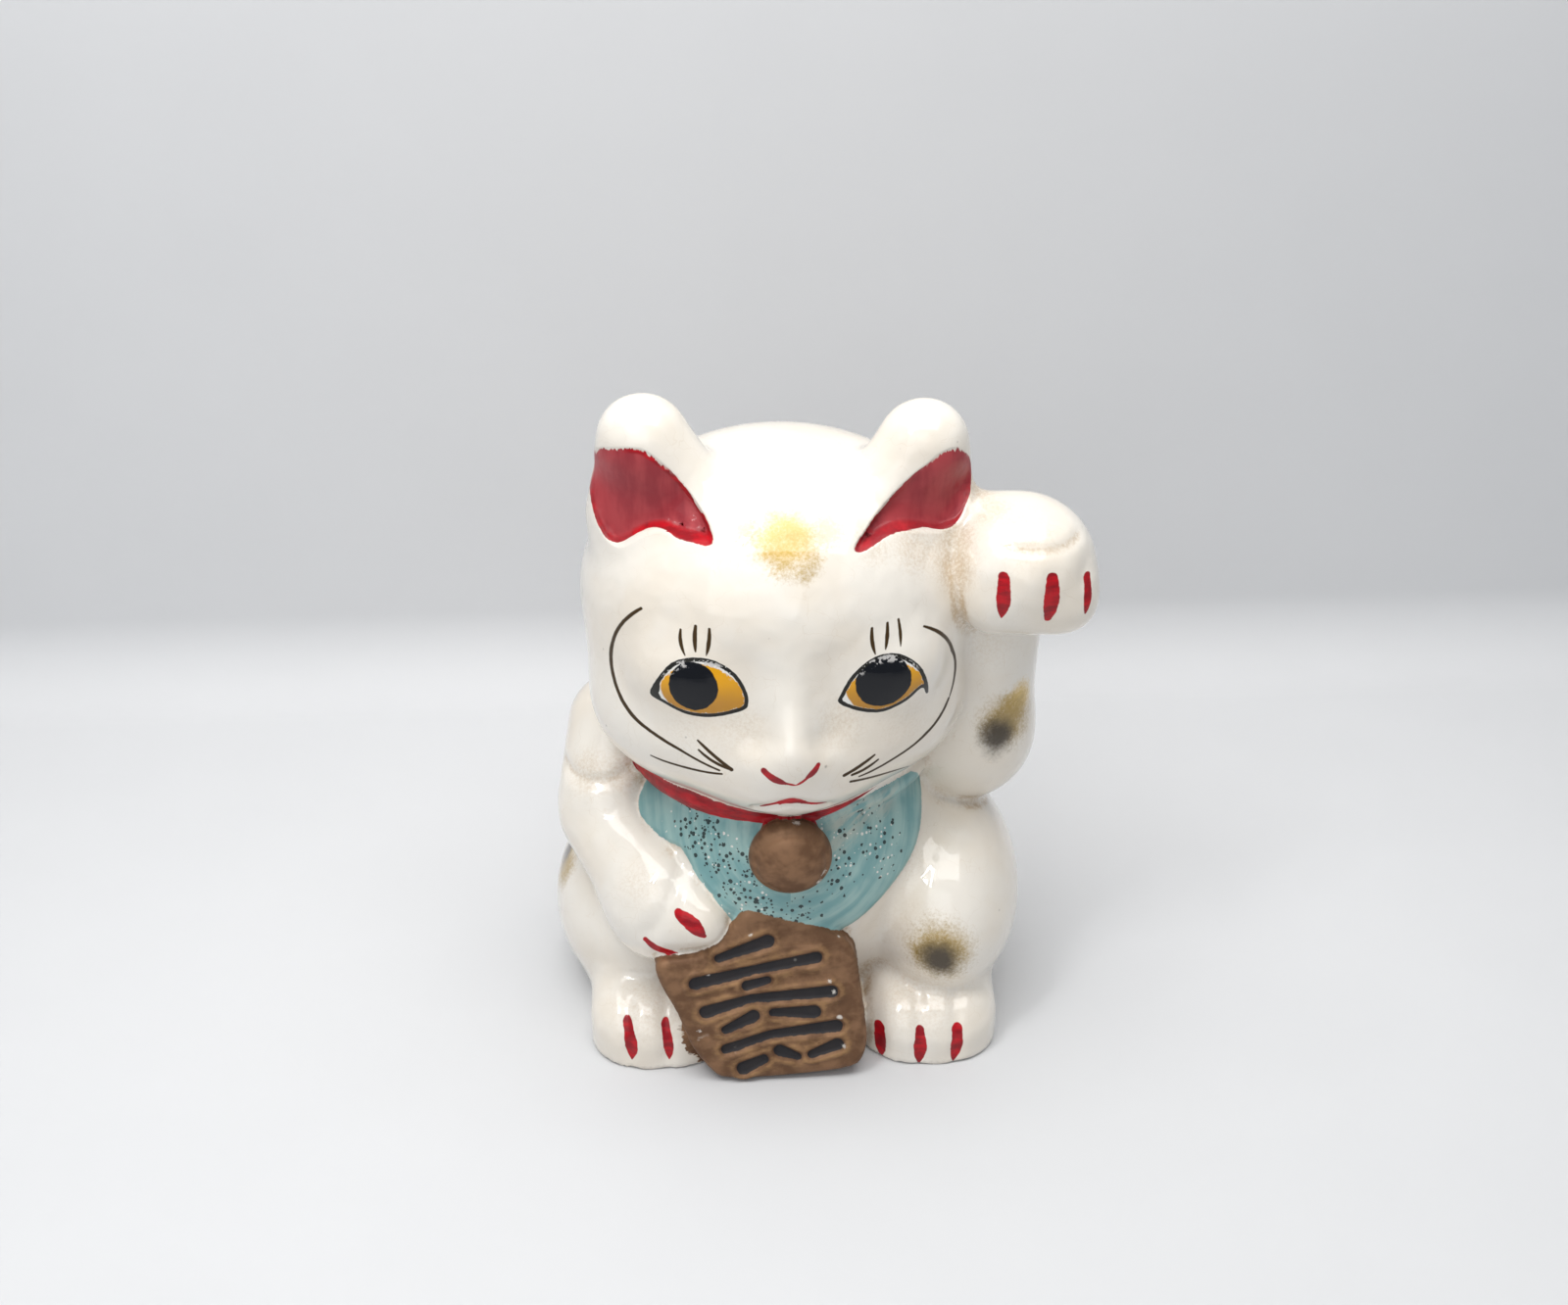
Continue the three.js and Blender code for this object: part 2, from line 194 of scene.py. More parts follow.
def stroke_distance(x, z, points, radii):
    """How far points are from a chain of round strokes, each point with its own radius."""
    best = np.full(np.shape(x), 1e9)
    for a, ra, b, rb in zip(points, radii, points[1:], radii[1:]):
        ex, ez = b[0] - a[0], b[1] - a[1]
        wx, wz = x - a[0], z - a[1]
        t = np.clip((wx * ex + wz * ez) / (ex * ex + ez * ez), 0, 1)
        best = np.minimum(best, np.hypot(wx - ex * t, wz - ez * t) - (ra + (rb - ra) * t))
    return best


# %% [markdown]
# ## The head
# A wide skull over a narrower jaw, a small muzzle, and a nose ridge that runs up between the eyes.
# The mould gives the eyes only a faint swell, because the painter makes them. The mouth is a
# shallow groove with a small chin under it.

# %% Head
SKULL = ((-1.5, -2, 134), (58.5, 53, 46))
JAW = ((-2.5, -16, 105), (54.5, 41, 28))
MUZZLE = ((-1, -42, 99), (22, 19, 14))
NOSE = ((-1, -44, 126), (-1, -57, 109), (9, 8))
CHIN = ((-1, -50, 91.3), (9, 8, 4.6))
EYE_SWELLS = (((-27, -39, 127), (16, 12.2, 12)), ((25, -39, 127), (16, 12.2, 12)))
NOSE_GROOVES = (-13, 11)
MOUTH = smooth_line([(-11, 90.2), (-6, 92.5), (-1, 94.8), (4, 92.5), (9.5, 90.6)], closed=False)
MOUTH_DEPTH = 0.8


def plain_head(p):
    form = blend(mass(p, *SKULL), mass(p, *JAW), 16)
    form = blend(form, mass(p, *MUZZLE), 12)
    return blend(form, limb(p, *NOSE), 9)


def head(p):
    form = plain_head(p)
    for swell in EYE_SWELLS:
        form = blend(form, mass(p, *swell), 8)
    for x in NOSE_GROOVES:
        form = carve(form, limb(p, (x, -61.5, 134), (x * 0.93, -63.5, 116), (5, 5)), 7)
    form = blend(form, mass(p, *CHIN), 4)
    groove = stroke_distance(p[0], p[2], MOUTH[::3], np.full(len(MOUTH[::3]), 0.9))
    return form + MOUTH_DEPTH * rise(-groove, -1.6, 0.6) * (p[1] < -40)


# %% [markdown]
# ## The ears
# Each ear is two blended fingers of clay, one upright at the outside and one that leans in. Its
# red inside is pressed a few millimetres deep: sharply along the lower and inner edges, and
# running out to nothing at the top, where the painter had to feather the red by eye.

# %% Ears
EAR_OUTER = ((39, -8, 160), (40, -12, 184.5), (16.5, 10.5))
EAR_INNER = ((24, -16, 164), (37, -13, 184), (13, 11))
EAR_HOLLOWS = {
    -1: smooth_line([
        (19.9, 163.7), (22, 162.9), (29.5, 163.2), (32.4, 163.9), (36.2, 163), (40.1, 160.8), (46.2, 156.9),
        (50.6, 159.3), (52.9, 164.3), (53.9, 170), (53, 178), (50.6, 183.5), (45.3, 185.9), (40.8, 186.4),
        (37.1, 185.3), (30.5, 179.6), (24.7, 172.3), (20.6, 166.8)], steps=3),
    1: smooth_line([
        (17, 164.8), (19.7, 164.1), (26, 165.7), (31.1, 165.9), (37, 164.2), (42.2, 162.7), (46.9, 163.6),
        (49.8, 166.2), (51.6, 170.9), (52.1, 176.5), (50.6, 182.3), (46.6, 186.4), (42.2, 186.3), (38.3, 183.5),
        (33.6, 179.9), (29, 175.2), (23.1, 170.2), (18.7, 166.8)], steps=3)}
EARS = ((-1, (-1.5, 0)), (1, (0, -3)))
EAR_DEPTH = 2.6


def ear(p, side, shift):
    q = (side * (p[0] - shift[0]), p[1], p[2] - shift[1])
    return blend(limb(q, *EAR_OUTER), limb(q, *EAR_INNER), 8)


def ear_edge(p, side, shift):
    return near_outline(side * (p[0] - shift[0]), p[2] - shift[1], EAR_HOLLOWS[side], 8)


def ear_sink(p, side, shift):
    """How deep the ear's face is pressed in at each point."""
    across, up = side * (p[0] - shift[0]), p[2] - shift[1]
    inside = rise(-ear_edge(p, side, shift), 0, 1.6)
    return EAR_DEPTH * inside * rise(-p[1], 4, 12) * rise(184 - up, 0, 14) * rise(55 - across, 0, 8)


# %% [markdown]
# ## Body, haunches, tail and feet
# The seated body is one egg with a fuller chest, and a haunch at each side. The feet are low
# blocks with round corners whose tops slope to the front, with a thumb-wide groove above each claw.

# %% Body
TRUNK = ((0.5, 6, 42), (57.5, 52, 58))
CHEST = ((-1, -18, 56), (40, 36, 38))
RIGHT_HAUNCH = ((-42.9, 0, 25.2), (29.4, 40, 31.2))
LEFT_HAUNCH = ((46.5, -10, 35), (26, 45, 32))
TAIL = ((0, 49, 19), (11, 8, 15))
FOOT_HALF = (21, 27, 19)
FOOT_Z = 2
FOOT_CORNER = 17
FOOT_EDGE = 11
FEET = (((-40, -32), (-49.4, -38)), ((41.5, -34), (26, 37.5, 48.5)))
TOE_GROOVE = 1.2


def plain_trunk(p):
    form = blend(mass(p, *TRUNK), mass(p, *CHEST), 14)
    form = blend(form, mass(p, *RIGHT_HAUNCH), 6)
    return blend(form, mass(p, *LEFT_HAUNCH), 6)


def foot(p, at, claws):
    a, b, c = FOOT_HALF
    qx = np.abs(p[0] - at[0]) - (a - FOOT_CORNER)
    qy = np.abs(p[1] - at[1]) - (b - FOOT_CORNER)
    side = np.hypot(np.maximum(qx, 0), np.maximum(qy, 0)) + np.minimum(np.maximum(qx, qy), 0) - FOOT_CORNER
    slope = 0.16 * np.maximum(at[1] - 4 - p[1], 0)
    form = rounded(side, np.abs(p[2] - FOOT_Z) - c + slope, FOOT_EDGE)
    front = rise(at[1] - 10 - p[1], 0, 10) * rise(p[2], -2, 6)
    for claw in claws:
        form = form + TOE_GROOVE * np.exp(-((p[0] - claw) / 2.2) ** 2) * front
    return form


# %% [markdown]
# ## Arms and paws
# The cat's right arm hangs from a round shoulder to the plaque, and its left arm lifts a fat paw
# beside the ear. The mould marks the joints with soft creases, which are painted darker beige later on: partly soiled
# glaze, partly painted shade.

# %% Arms
RIGHT_SHOULDER = ((-49.5, 4, 84), (-54.5, -9, 69), (16.5, 14.5))
RIGHT_UPPER_ARM = ((-56.2, -14, 61.8), (-37, -36, 46.8), (12.7, 17.1))
RIGHT_FOREARM = ((-37, -36, 46.8), (-26.5, -51, 48.9), (17.1, 8))
LEFT_UPPER_ARM = ((38, 2, 86), (54, -2, 84), (20, 21))
LEFT_FOREARM = ((54, -2, 84), (58, -4, 130), (21, 19))
RAISED_PAW = ((66.5, -18, 147), (21.8, 24, 19))
PAW_WEB = ((57, -15, 152), (50, -13, 160), (12, 8))
PAW_CLAWS = (58.7, 71.9, 82.3)
PAW_TOES = [((x, -27, 139.5), (8.5, 11, 9.5)) for x in (57.7, 70.9, 79.3)]
PAW_FOLD = smooth_line([(58.3, 159.5), (61.5, 158.6), (69.3, 158.2), (76, 158.1), (80.9, 158.6)], closed=False)
WRIST_FOLD = smooth_line([(-32.5, 63), (-33.4, 61), (-34.4, 59), (-36, 55.5), (-38.5, 51.7), (-42.1, 46.7)], closed=False)
SHOULDER_FOLD = smooth_line([(-69, 78.5), (-65.4, 77.8), (-57.8, 77.3), (-51, 78.3), (-45.2, 81.1)], closed=False)


def fold(p, line, width, depth):
    """A soft groove along a line seen from the front."""
    away = stroke_distance(p[0], p[2], line[::3], np.zeros(len(line[::3])))
    return depth * np.exp(-(away / width) ** 2)


def lowered_arm(p):
    form = blend(limb(p, *RIGHT_SHOULDER), limb(p, *RIGHT_UPPER_ARM), 5)
    form = blend(form, limb(p, *RIGHT_FOREARM), 8)
    form = form + fold(p, SHOULDER_FOLD, 1.6, 1.3) * rise(-p[1], 2, 9)
    return form + fold(p, WRIST_FOLD, 2.4, 1.2) * (p[1] < -30)


def raised_arm(p):
    paw = mass(p, *RAISED_PAW)
    for claw in PAW_CLAWS:
        paw = paw + 0.8 * np.exp(-((p[0] - claw) / 2.4) ** 2) * rise(-p[1], 22, 34) * rise(158 - p[2], 0, 8)
    paw = paw + fold(p, PAW_FOLD, 1.1, 0.7) * rise(-p[1], 18, 28)
    for toe in PAW_TOES:
        paw = blend(paw, mass(p, *toe), 6)
    form = blend(limb(p, *LEFT_UPPER_ARM), limb(p, *LEFT_FOREARM), 8)
    form = blend(form, paw, 4)
    return blend(form, limb(p, *PAW_WEB), 6)


# %% [markdown]
# ## Collar, bib and bell
# The red collar is a round band, mostly hidden by the chin. The bib is a thin sheet on the chest
# with a rolled edge. The bell was a flat button of clay, with a line cut round its rim.

# %% Collar, bib and bell
COLLAR_AT = (-1, -2, 82.5)
COLLAR_HALF = (47, 47.5)
COLLAR_EDGE = 4
BIB = smooth_line([
    (-41.4, 76.4), (-43, 74.1), (-44.4, 71.3), (-43.1, 69.3), (-36.7, 67.6), (-33.3, 67.4), (-31.2, 66.4),
    (-27.2, 61.3), (-23.4, 57.6), (-19.6, 53.2), (-13, 44), (0, 42.5), (14, 44), (23.4, 49.4), (33.3, 58.3),
    (38.3, 65.3), (39.6, 72.9), (38.8, 79), (35.5, 84.5), (20, 85), (0, 84), (-20, 83), (-34, 80)], steps=3)
BIB_RISE = 1.0
BELL = ((-1, -54, 72), (12, 9, 11.5))


def collar(p):
    x, y, z = (p[i] - COLLAR_AT[i] for i in range(3))
    ring = np.hypot(x, y * COLLAR_HALF[0] / COLLAR_HALF[1]) - COLLAR_HALF[0] + COLLAR_EDGE
    return np.hypot(np.maximum(ring, 0), z) - COLLAR_EDGE


def bib_edge(p):
    return np.where(p[1] > -8, 10, near_outline(p[0], p[2], BIB, 10))


def bell(p):
    form = mass(p, *BELL)
    across = np.hypot((p[0] - BELL[0][0]) / BELL[1][0], (p[2] - BELL[0][2]) / BELL[1][2])
    rim = 0.5 * np.exp(-((across - 0.84) / 0.05) ** 2)
    dent = 0.7 * np.exp(-((np.hypot(p[0] + 6.5, p[2] - 65.3) - 1.3) / 0.6) ** 2)
    return form + (rim + dent) * (p[1] < -56)


# %% [markdown]
# ## The plaque
# A brown coin leans on the belly under the lowered paw. Its corners were worn soft, and rows of
# sunk strokes cross it, most of them tilted a little up to the right. The tool that pressed them
# pushed up a lip round each one, and the clay between them was left in low waves.

# %% Plaque
PLAQUE = smooth_line([
    (-13.8, 54.7), (-6.3, 53.8), (3.2, 50.3), (12.7, 46.1), (16.3, 43.2), (18.6, 37), (20.7, 20.5), (21.4, 13.8),
    (20.4, 7.2), (16.6, 3.6), (4.4, 2), (-8.5, 1.2), (-19.8, 1.3), (-24.4, 3.4), (-30.6, 12), (-34.5, 22.5),
    (-39.6, 33), (-39.8, 39.4), (-28.5, 41.2), (-22.1, 45.6), (-17.8, 50.6)], steps=3)
PLAQUE_FOOT_Y = -66.5
PLAQUE_SLOPE = 0.21
PLAQUE_THICK = 44
PLAQUE_EDGE = 2.2
MARK_DEPTH = 0.9
MARKS = (
    (((-22.2, 40.4), (-7.8, 45.4)), (1.2, 2.0)), (((-29, 32.6), (-12, 36.4), (6.4, 39.8)), (1.9, 1.4, 1.7)),
    (((-14, 31.5), (-8, 33)), (1.5, 1.2)), (((-26.2, 23.4), (-12.8, 27.3), (10.8, 28.8)), (1.9, 1.3, 1.8)),
    (((-20.6, 17.4), (-12.2, 21.6)), (1.2, 1.9)), (((-6.4, 22.6), (5.6, 22.4)), (1.2, 2.0)),
    (((-20.4, 11.2), (-7.5, 15.6), (12.2, 17.6)), (1.5, 1.2, 1.9)), (((-15.4, 4.8), (-9.4, 7.6)), (2.0, 1.4)),
    (((-4.6, 10.2), (0.6, 8)), (1.8, 1.2)), (((4.8, 8.6), (12.4, 11.6)), (1.2, 1.9)))


def on_plaque(p):
    """Places across, up and out of the plaque's own face."""
    k = 1 / math.hypot(1, PLAQUE_SLOPE)
    dy = p[1] - PLAQUE_FOOT_Y
    return p[0], (p[2] + PLAQUE_SLOPE * dy) * k, -(dy - PLAQUE_SLOPE * p[2]) * k


def mark_edge(p):
    """How far points of the plaque's face are from the nearest sunk mark."""
    x, up, out = on_plaque(p)
    best = np.full(np.shape(x), 9.0)
    for chain_points, radii in MARKS:
        best = np.minimum(best, stroke_distance(x, up, chain_points, radii))
    return best


def plaque(p):
    x, up, out = on_plaque(p)
    side = near_outline(x, up, PLAQUE, 60)
    form = rounded(side, np.abs(out + PLAQUE_THICK / 2) - PLAQUE_THICK / 2, PLAQUE_EDGE)
    away = mark_edge(p)
    swirl = np.sin(0.55 * x + 2 * np.sin(0.16 * up)) * np.sin(0.75 * up - 0.2 * x)
    lip = (0.60 + 0.24 * swirl) * np.exp(-((away - 1.35) / 0.75) ** 2)
    wave = 0.34 * np.sin(1.15 * up - 0.22 * x + 2.2 * np.sin(0.17 * x)) * rise(away, 2.0, 3.5) * rise(-side, 3, 6)
    rim = 0.3 * np.exp(-((side + 3.6) / 0.8) ** 2) * rise(x, 4, 12)
    return form + (MARK_DEPTH * rise(-away, -0.5, 0.6) - lip + wave + rim) * (out > -4)


# %% [markdown]
# ## One skin, hollow inside
# The cast is one piece, so all forms join into one skin. The joints stay narrow where the real
# ones are crisp. The inside is empty, with a wall of five millimetres, and a coin slot opens at the
# back of the head. The foot is cut flat.

# %% Skin, hollow and slot
WALL = 5
NECK_HOLLOW = ((0, -1, 76), (-1, -5, 106), (29, 29))
SLOT_WIDTH = 38
SLOT_HEIGHT = 5.6
SLOT_Z = 142


def skin(p):
    body = plain_trunk(p)
    body = blend(body, mass(p, *TAIL), 5)
    for at, claws in FEET:
        body = blend(body, foot(p, at, claws), 5)
    body = blend(body, lowered_arm(p), 3.5) - BIB_RISE * rise(-bib_edge(p), -0.6, 0.8)
    body = blend(body, raised_arm(p), 3)
    body = blend(body, collar(p), 1.5)
    top = head(p)
    for side, shift in EARS:
        top = blend(top, ear(p, side, shift), 6)
        top = top + ear_sink(p, side, shift)
    body = blend(body, top, 3)
    body = blend(body, plaque(p), 1.5)
    return blend(body, bell(p), 1.2)


def hollow(p):
    inside = blend(plain_trunk(p), plain_head(p), 6) + WALL
    inside = blend(inside, limb(p, *NECK_HOLLOW), 4)
    return np.maximum(inside, WALL - p[2])


def slot(p):
    half = SLOT_HEIGHT / 2
    across = np.maximum(np.abs(p[0]) - SLOT_WIDTH / 2 + half, 0)
    ring = np.hypot(across, p[2] - SLOT_Z) - half
    return np.maximum(ring, np.abs(p[1] - 50) - 20)


def cat(p):
    form = np.maximum(skin(p), -hollow(p))
    return carve(np.maximum(form, -p[2]), slot(p), 1.2)


# %% [markdown]
# ## From distances to a mesh
# A mesh of the skin could come from metaballs or a voxel remesh, but both blur the small reliefs.
# Here a net is drawn through a grid of distances: one point in each cell that the skin crosses,
# and one face across each grid edge that it crosses. Then every point slides along the slope
# until its distance is zero, so it lies on the true surface whatever the grid.


# %% A net through the grid
def crossings(values):
    """The middle of the skin's crossings in each cell of the grid, in cells, and which cells have any."""
    cells = tuple(n - 1 for n in values.shape)
    total = np.zeros(cells + (3,))
    count = np.zeros(cells)
    for axis in range(3):
        others = [a for a in range(3) if a != axis]
        for corner in ((0, 0), (0, 1), (1, 0), (1, 1)):
            start = np.zeros(3, int)
            start[others] = corner
            near = tuple(slice(s, s + n) for s, n in zip(start, cells))
            start[axis] = 1
            far = tuple(slice(s, s + n) for s, n in zip(start, cells))
            a, b = values[near], values[far]
            cross = (a < 0) != (b < 0)
            total[..., axis] += np.where(cross, a / np.where(cross, a - b, 1), 0)
            for other, at in zip(others, corner):
                total[..., other] += cross * at
            count += cross
    return total / np.maximum(count, 1)[..., None], count > 0


def net(values, low, step):
    """Points and triangles of a net where the grid's values change sign."""
    middle, used = crossings(values)
    number = np.full(used.shape, -1)
    number[used] = np.arange(used.sum())
    points = (np.argwhere(used) + middle[used]) * step + low
    quads = []
    for axis in range(3):
        b, c = (axis + 1) % 3, (axis + 2) % 3
        inside = np.moveaxis(values < 0, (axis, b, c), (0, 1, 2))
        ids = np.moveaxis(number, (axis, b, c), (0, 1, 2))
        here, there = inside[:-1, 1:-1, 1:-1], inside[1:, 1:-1, 1:-1]
        ring = [ids[:, :-1, :-1], ids[:, 1:, :-1], ids[:, 1:, 1:], ids[:, :-1, 1:]]
        out, back = here & ~there, ~here & there
        quads.append(np.stack([r[out] for r in ring], -1))
        quads.append(np.stack([r[back] for r in ring[::-1]], -1))
    quads = np.concatenate(quads)
    short = np.linalg.norm(points[quads[:, 0]] - points[quads[:, 2]], axis=1) < np.linalg.norm(
        points[quads[:, 1]] - points[quads[:, 3]], axis=1)
    one = np.where(short[:, None], quads[:, [0, 1, 2]], quads[:, [0, 1, 3]])
    two = np.where(short[:, None], quads[:, [0, 2, 3]], quads[:, [1, 2, 3]])
    return points, np.concatenate([one, two])


GRID = 2.0
LOW, HIGH = np.array([-76.0, -70.0, -3.0]), np.array([92.0, 62.0, 200.0])
axes = [np.arange(a, b, GRID) for a, b in zip(LOW, HIGH)]
grid = [g.astype(float) for g in np.meshgrid(*axes, indexing="ij")]
points, triangles = net(cat(grid), LOW, GRID)
print("net", len(points), "points", len(triangles), "triangles")


# %% Slide the points onto the skin
def slope_at(points, away=0.15):
    """The distance's slope at points, by small steps each way."""
    slope = np.empty_like(points)
    for axis in range(3):
        step = np.zeros(3)
        step[axis] = away
        slope[:, axis] = (cat((points + step).T) - cat((points - step).T)) / (2 * away)
    return slope


def settle(points, rounds=2, most=1.0):
    """Points moved along the slope to where the distance is zero, by at most so far in one round."""
    for _ in range(rounds):
        slope = slope_at(points)
        value = cat(points.T)
        move = -value / np.maximum((slope**2).sum(1), 0.2)
        points = points + np.clip(move, -most, most)[:, None] * slope
    return points


def edges_of(triangles):
    pairs = np.sort(np.concatenate([triangles[:, [0, 1]], triangles[:, [1, 2]], triangles[:, [2, 0]]]), axis=1)
    return np.unique(pairs, axis=0, return_inverse=True)


def even_out(points, triangles, share=0.5):
    """Each point drawn towards its neighbours' middle, but only along the skin."""
    pairs, _ = edges_of(triangles)
    total = np.zeros_like(points)
    for a, b in ((0, 1), (1, 0)):
        np.add.at(total, pairs[:, a], points[pairs[:, b]])
    count = np.bincount(pairs.ravel(), minlength=len(points))
    pull = total / np.maximum(count, 1)[:, None] - points
    slope = slope_at(points)
    slope /= np.maximum(np.linalg.norm(slope, axis=1), 1e-6)[:, None]
    return points + share * (pull - (pull * slope).sum(1)[:, None] * slope)


points = settle(points)
points = settle(even_out(points, triangles), 1)
print("settled, largest distance left", round(float(np.abs(cat(points.T)).max()), 3), "mm")

# %% [markdown]
# ## Finer where it matters
# The coarse net would blur the marks on the plaque and the edges of the paint. A second, finer net
# everywhere would be far too heavy. So each edge longer than its place allows is cut in two, which
# turns a triangle into two, three or four, and the new points slide onto the skin as before.


# %% The triangle size that each place needs
EYE_LEFT = smooth_line([
    (-39.7, 122.7), (-37.6, 128.1), (-33.5, 133.4), (-27.5, 135.6), (-21.2, 135), (-15.9, 131.3), (-13, 126),
    (-12.7, 122.6), (-13.7, 120.9), (-17.7, 119.4), (-23.6, 118.1), (-30.1, 118.3), (-36.2, 120.9)], steps=3)
EYE_RIGHT = smooth_line([
    (12.3, 121.9), (12.8, 124.5), (16.3, 130.6), (22.2, 134.8), (28.9, 134.7), (34.8, 130.4), (37.3, 125),
    (38.1, 119.9), (37.3, 119.8), (35.8, 122.9), (31.5, 119.7), (24.8, 117.5), (18.1, 118.9)], steps=3)


def size_needed(points):
    """The longest edge that each point's surroundings may have, in millimetres."""
    p = points.T
    size = np.full(len(points), 2.4)

    def finer(near, length):
        size[near] = np.minimum(size[near], length)

    front = p[1] < -6
    for side, shift in EARS:
        finer(front & (np.abs(ear_edge(p, side, shift)) < 1.8), 0.9)
    for eye in (EYE_LEFT, EYE_RIGHT):
        finer(front & (np.abs(near_outline(p[0], p[2], eye, 8)) < 1.5), 0.7)
    finer((p[1] < -30) & (p[2] > 88) & (p[2] < 146), 1.7)
    finer((p[1] < -50) & (stroke_distance(p[0], p[2], MOUTH[::3], np.ones(len(MOUTH[::3]))) < 1.5), 0.7)
    finer(front & (np.abs(bib_edge(p)) < 1.6), 0.9)
    finer(front & (np.abs(bell(p)) < 0.3), 0.8)
    x, up, out = on_plaque(p)
    face = (np.abs(out) < 2.5) & (near_outline(x, up, PLAQUE, 8) < 2)
    finer(face, 1.2)
    finer(face & (mark_edge(p) < 2.2), 0.55)
    finer(np.abs(slot(p)) < 1.6, 0.8)
    finer(front & (p[2] < 24) & (np.abs(p[0]) > 22), 1.5)
    return size


def cut_long_edges(points, triangles, slack=1.35):
    """Every edge that is too long cut at its middle, and the triangles cut to suit."""
    pairs, which = edges_of(triangles)
    middle = points[pairs].mean(1)
    length = np.linalg.norm(points[pairs[:, 0]] - points[pairs[:, 1]], axis=1)
    cut = length > slack * size_needed(middle)
    ids = np.full(len(pairs), -1)
    ids[cut] = len(points) + np.arange(cut.sum())
    m = ids[which].reshape(3, -1).T
    t = triangles
    turn = np.zeros(len(t), int)
    cuts = (m >= 0).sum(1)
    for n in range(3):
        turn[(cuts == 1) & (m[:, n] >= 0)] = n
        turn[(cuts == 2) & (m[:, (n + 2) % 3] < 0)] = n
    order = (np.arange(3) + turn[:, None]) % 3
    t = np.take_along_axis(t, order, 1)
    m = np.take_along_axis(m, order, 1)
    (a, b, c), (ab, bc, ca) = t.T, m.T
    parts = [t[cuts == 0]]

    def add(chosen, *corners):
        parts.append(np.stack([k[chosen] for k in corners], -1))

    one, two, three = cuts == 1, cuts == 2, cuts == 3
    add(one, a, ab, c)
    add(one, ab, b, c)
    add(two, ab, b, bc)
    add(two, a, ab, bc)
    add(two, a, bc, c)
    for corners in ((a, ab, ca), (ab, b, bc), (ca, bc, c), (ab, bc, ca)):
        add(three, *corners)
    return np.concatenate([points, middle[cut]]), np.concatenate(parts), len(points)


# %% Cut and settle
for _ in range(3):
    points, triangles, old = cut_long_edges(points, triangles)
    points[old:] = settle(points[old:], 1)
points = settle(even_out(points, triangles, 0.35), 1)
print("refined", len(points), "points", len(triangles), "triangles")

# %% [markdown]
# ## What the paint needs to know
# The painter's borders follow the relief, so each point of the mesh remembers how far it lies from
# each border, in millimetres. A shader can then stop a colour within a hair of it, whatever the
# mesh. One more value says how deep in a crease the point lies, where the glaze is painted darker: partly soiled,
# partly painted shade.


# %% Values kept on the mesh
def ear_paint(p):
    """Distance to the painted inside of either ear."""
    nearest = np.full(np.shape(p[0]), 8.0)
    for side, shift in EARS:
        nearest = np.minimum(nearest, ear_edge(p, side, shift))
    return np.where(p[1] < -6, nearest, 8.0)


def crease(p, points):
    """1 in a tight crease, 0 on a flat or rounded place: how near the skin is seen from just outside."""
    slope = slope_at(points)
    slope /= np.maximum(np.linalg.norm(slope, axis=1), 1e-6)[:, None]
    away = 3.5
    return np.clip(1 - cat((points + away * slope).T) / away, 0, 1)


def eye_paint(p, outline):
    return np.where(p[1] < -20, near_outline(p[0], p[2], outline, 8), 8.0)


def nearness(p, places, least=-0.3):
    """1 at the middle of the nearest of these round places, 0 at its rim. A place has a point, a radius
    and the most that it may give."""
    best = np.full(np.shape(p[0]), least)
    for at, radius, most in places:
        away = np.sqrt(sum((p[i] - at[i]) ** 2 for i in range(3)))
        best = np.maximum(best, np.minimum(1 - away / (1.15 * radius), most))
    return best


def heaped(p, places):
    """How much of something is strewn at each point. A place is a point, a radius and a share."""
    best = np.zeros(np.shape(p[0]))
    for at, radius, share in places:
        best = np.maximum(best, share * rise(nearness(p, [(at, radius, 1)]), 0, 0.8))
    return best


def collar_paint(p, top):
    """Distance to the painted collar, which ends where the head's skin begins."""
    near_head = rise(3 - top, 0, 1.5)
    at_head = collar(p) - top + np.where(p[1] > -14, 0.9, -0.4)
    return np.clip(np.maximum(collar(p) - 0.9 * near_head, at_head * near_head - 3 * (1 - near_head)), -3, 8)


def fold_paint(p):
    """Distance to the nearest fold, seen from the front; folds are painted darker beige, partly soiled glaze and partly
    painted shade. The wrist's is fainter.
    """
    folds = (
        (PAW_FOLD, p[0] > 50, 0), (SHOULDER_FOLD, (p[0] < -40) & (p[2] > 70), 0), (WRIST_FOLD, p[1] < -40, 1.1))
    nearest = np.full(np.shape(p[0]), 8.0)
    for line, chosen, fainter in folds:
        near = stroke_distance(p[0], p[2], line[::3], np.zeros(len(line[::3]))) + fainter
        nearest = np.where(chosen & (p[1] < -4), np.minimum(nearest, near), nearest)
    return nearest


# Joints and hollows painted a darker beige: partly soiled glaze, partly painted shade.
GRIME_AND_SHADE_PLACES = [
    ((-14, -52, 115), 12, 0.45), ((12, -52, 115), 12, 0.5), ((-27, -50, 112), 13, 0.3), ((30, -46, 112), 14, 0.3),
    ((47.2, -25, 156.7), 9, 0.85), ((47, -28, 150), 11, 0.9), ((52, -12, 165), 11, 0.9), ((57, -22, 165), 8, 0.6),
    ((22, -37.5, 162), 9, 0.55), ((34, -33, 158), 11, 0.6), ((44, -30, 155), 11, 0.6), ((-10, -40, 166), 8, 0.5),
    ((-59, -17, 79), 11, 0.55), ((-49, -18, 80), 10, 0.55), ((64, -34, 162), 13, 0.4), ((46, -14, 72), 11, 0.65),
    ((33, -36, 58), 10, 0.5), ((38, -52, 20), 18, 0.42), ((-42, -52, 20), 18, 0.42), ((36, -48, 40), 16, 0.3),
    ((-44, -46, 58), 10, 0.4), ((58, -24, 122), 12, 0.35)]
YELLOW_SPOTS = [((-1.5, -40, 166.0), 13.5, 0.75), ((69.0, -18, 101.5), 8.5, 1)]
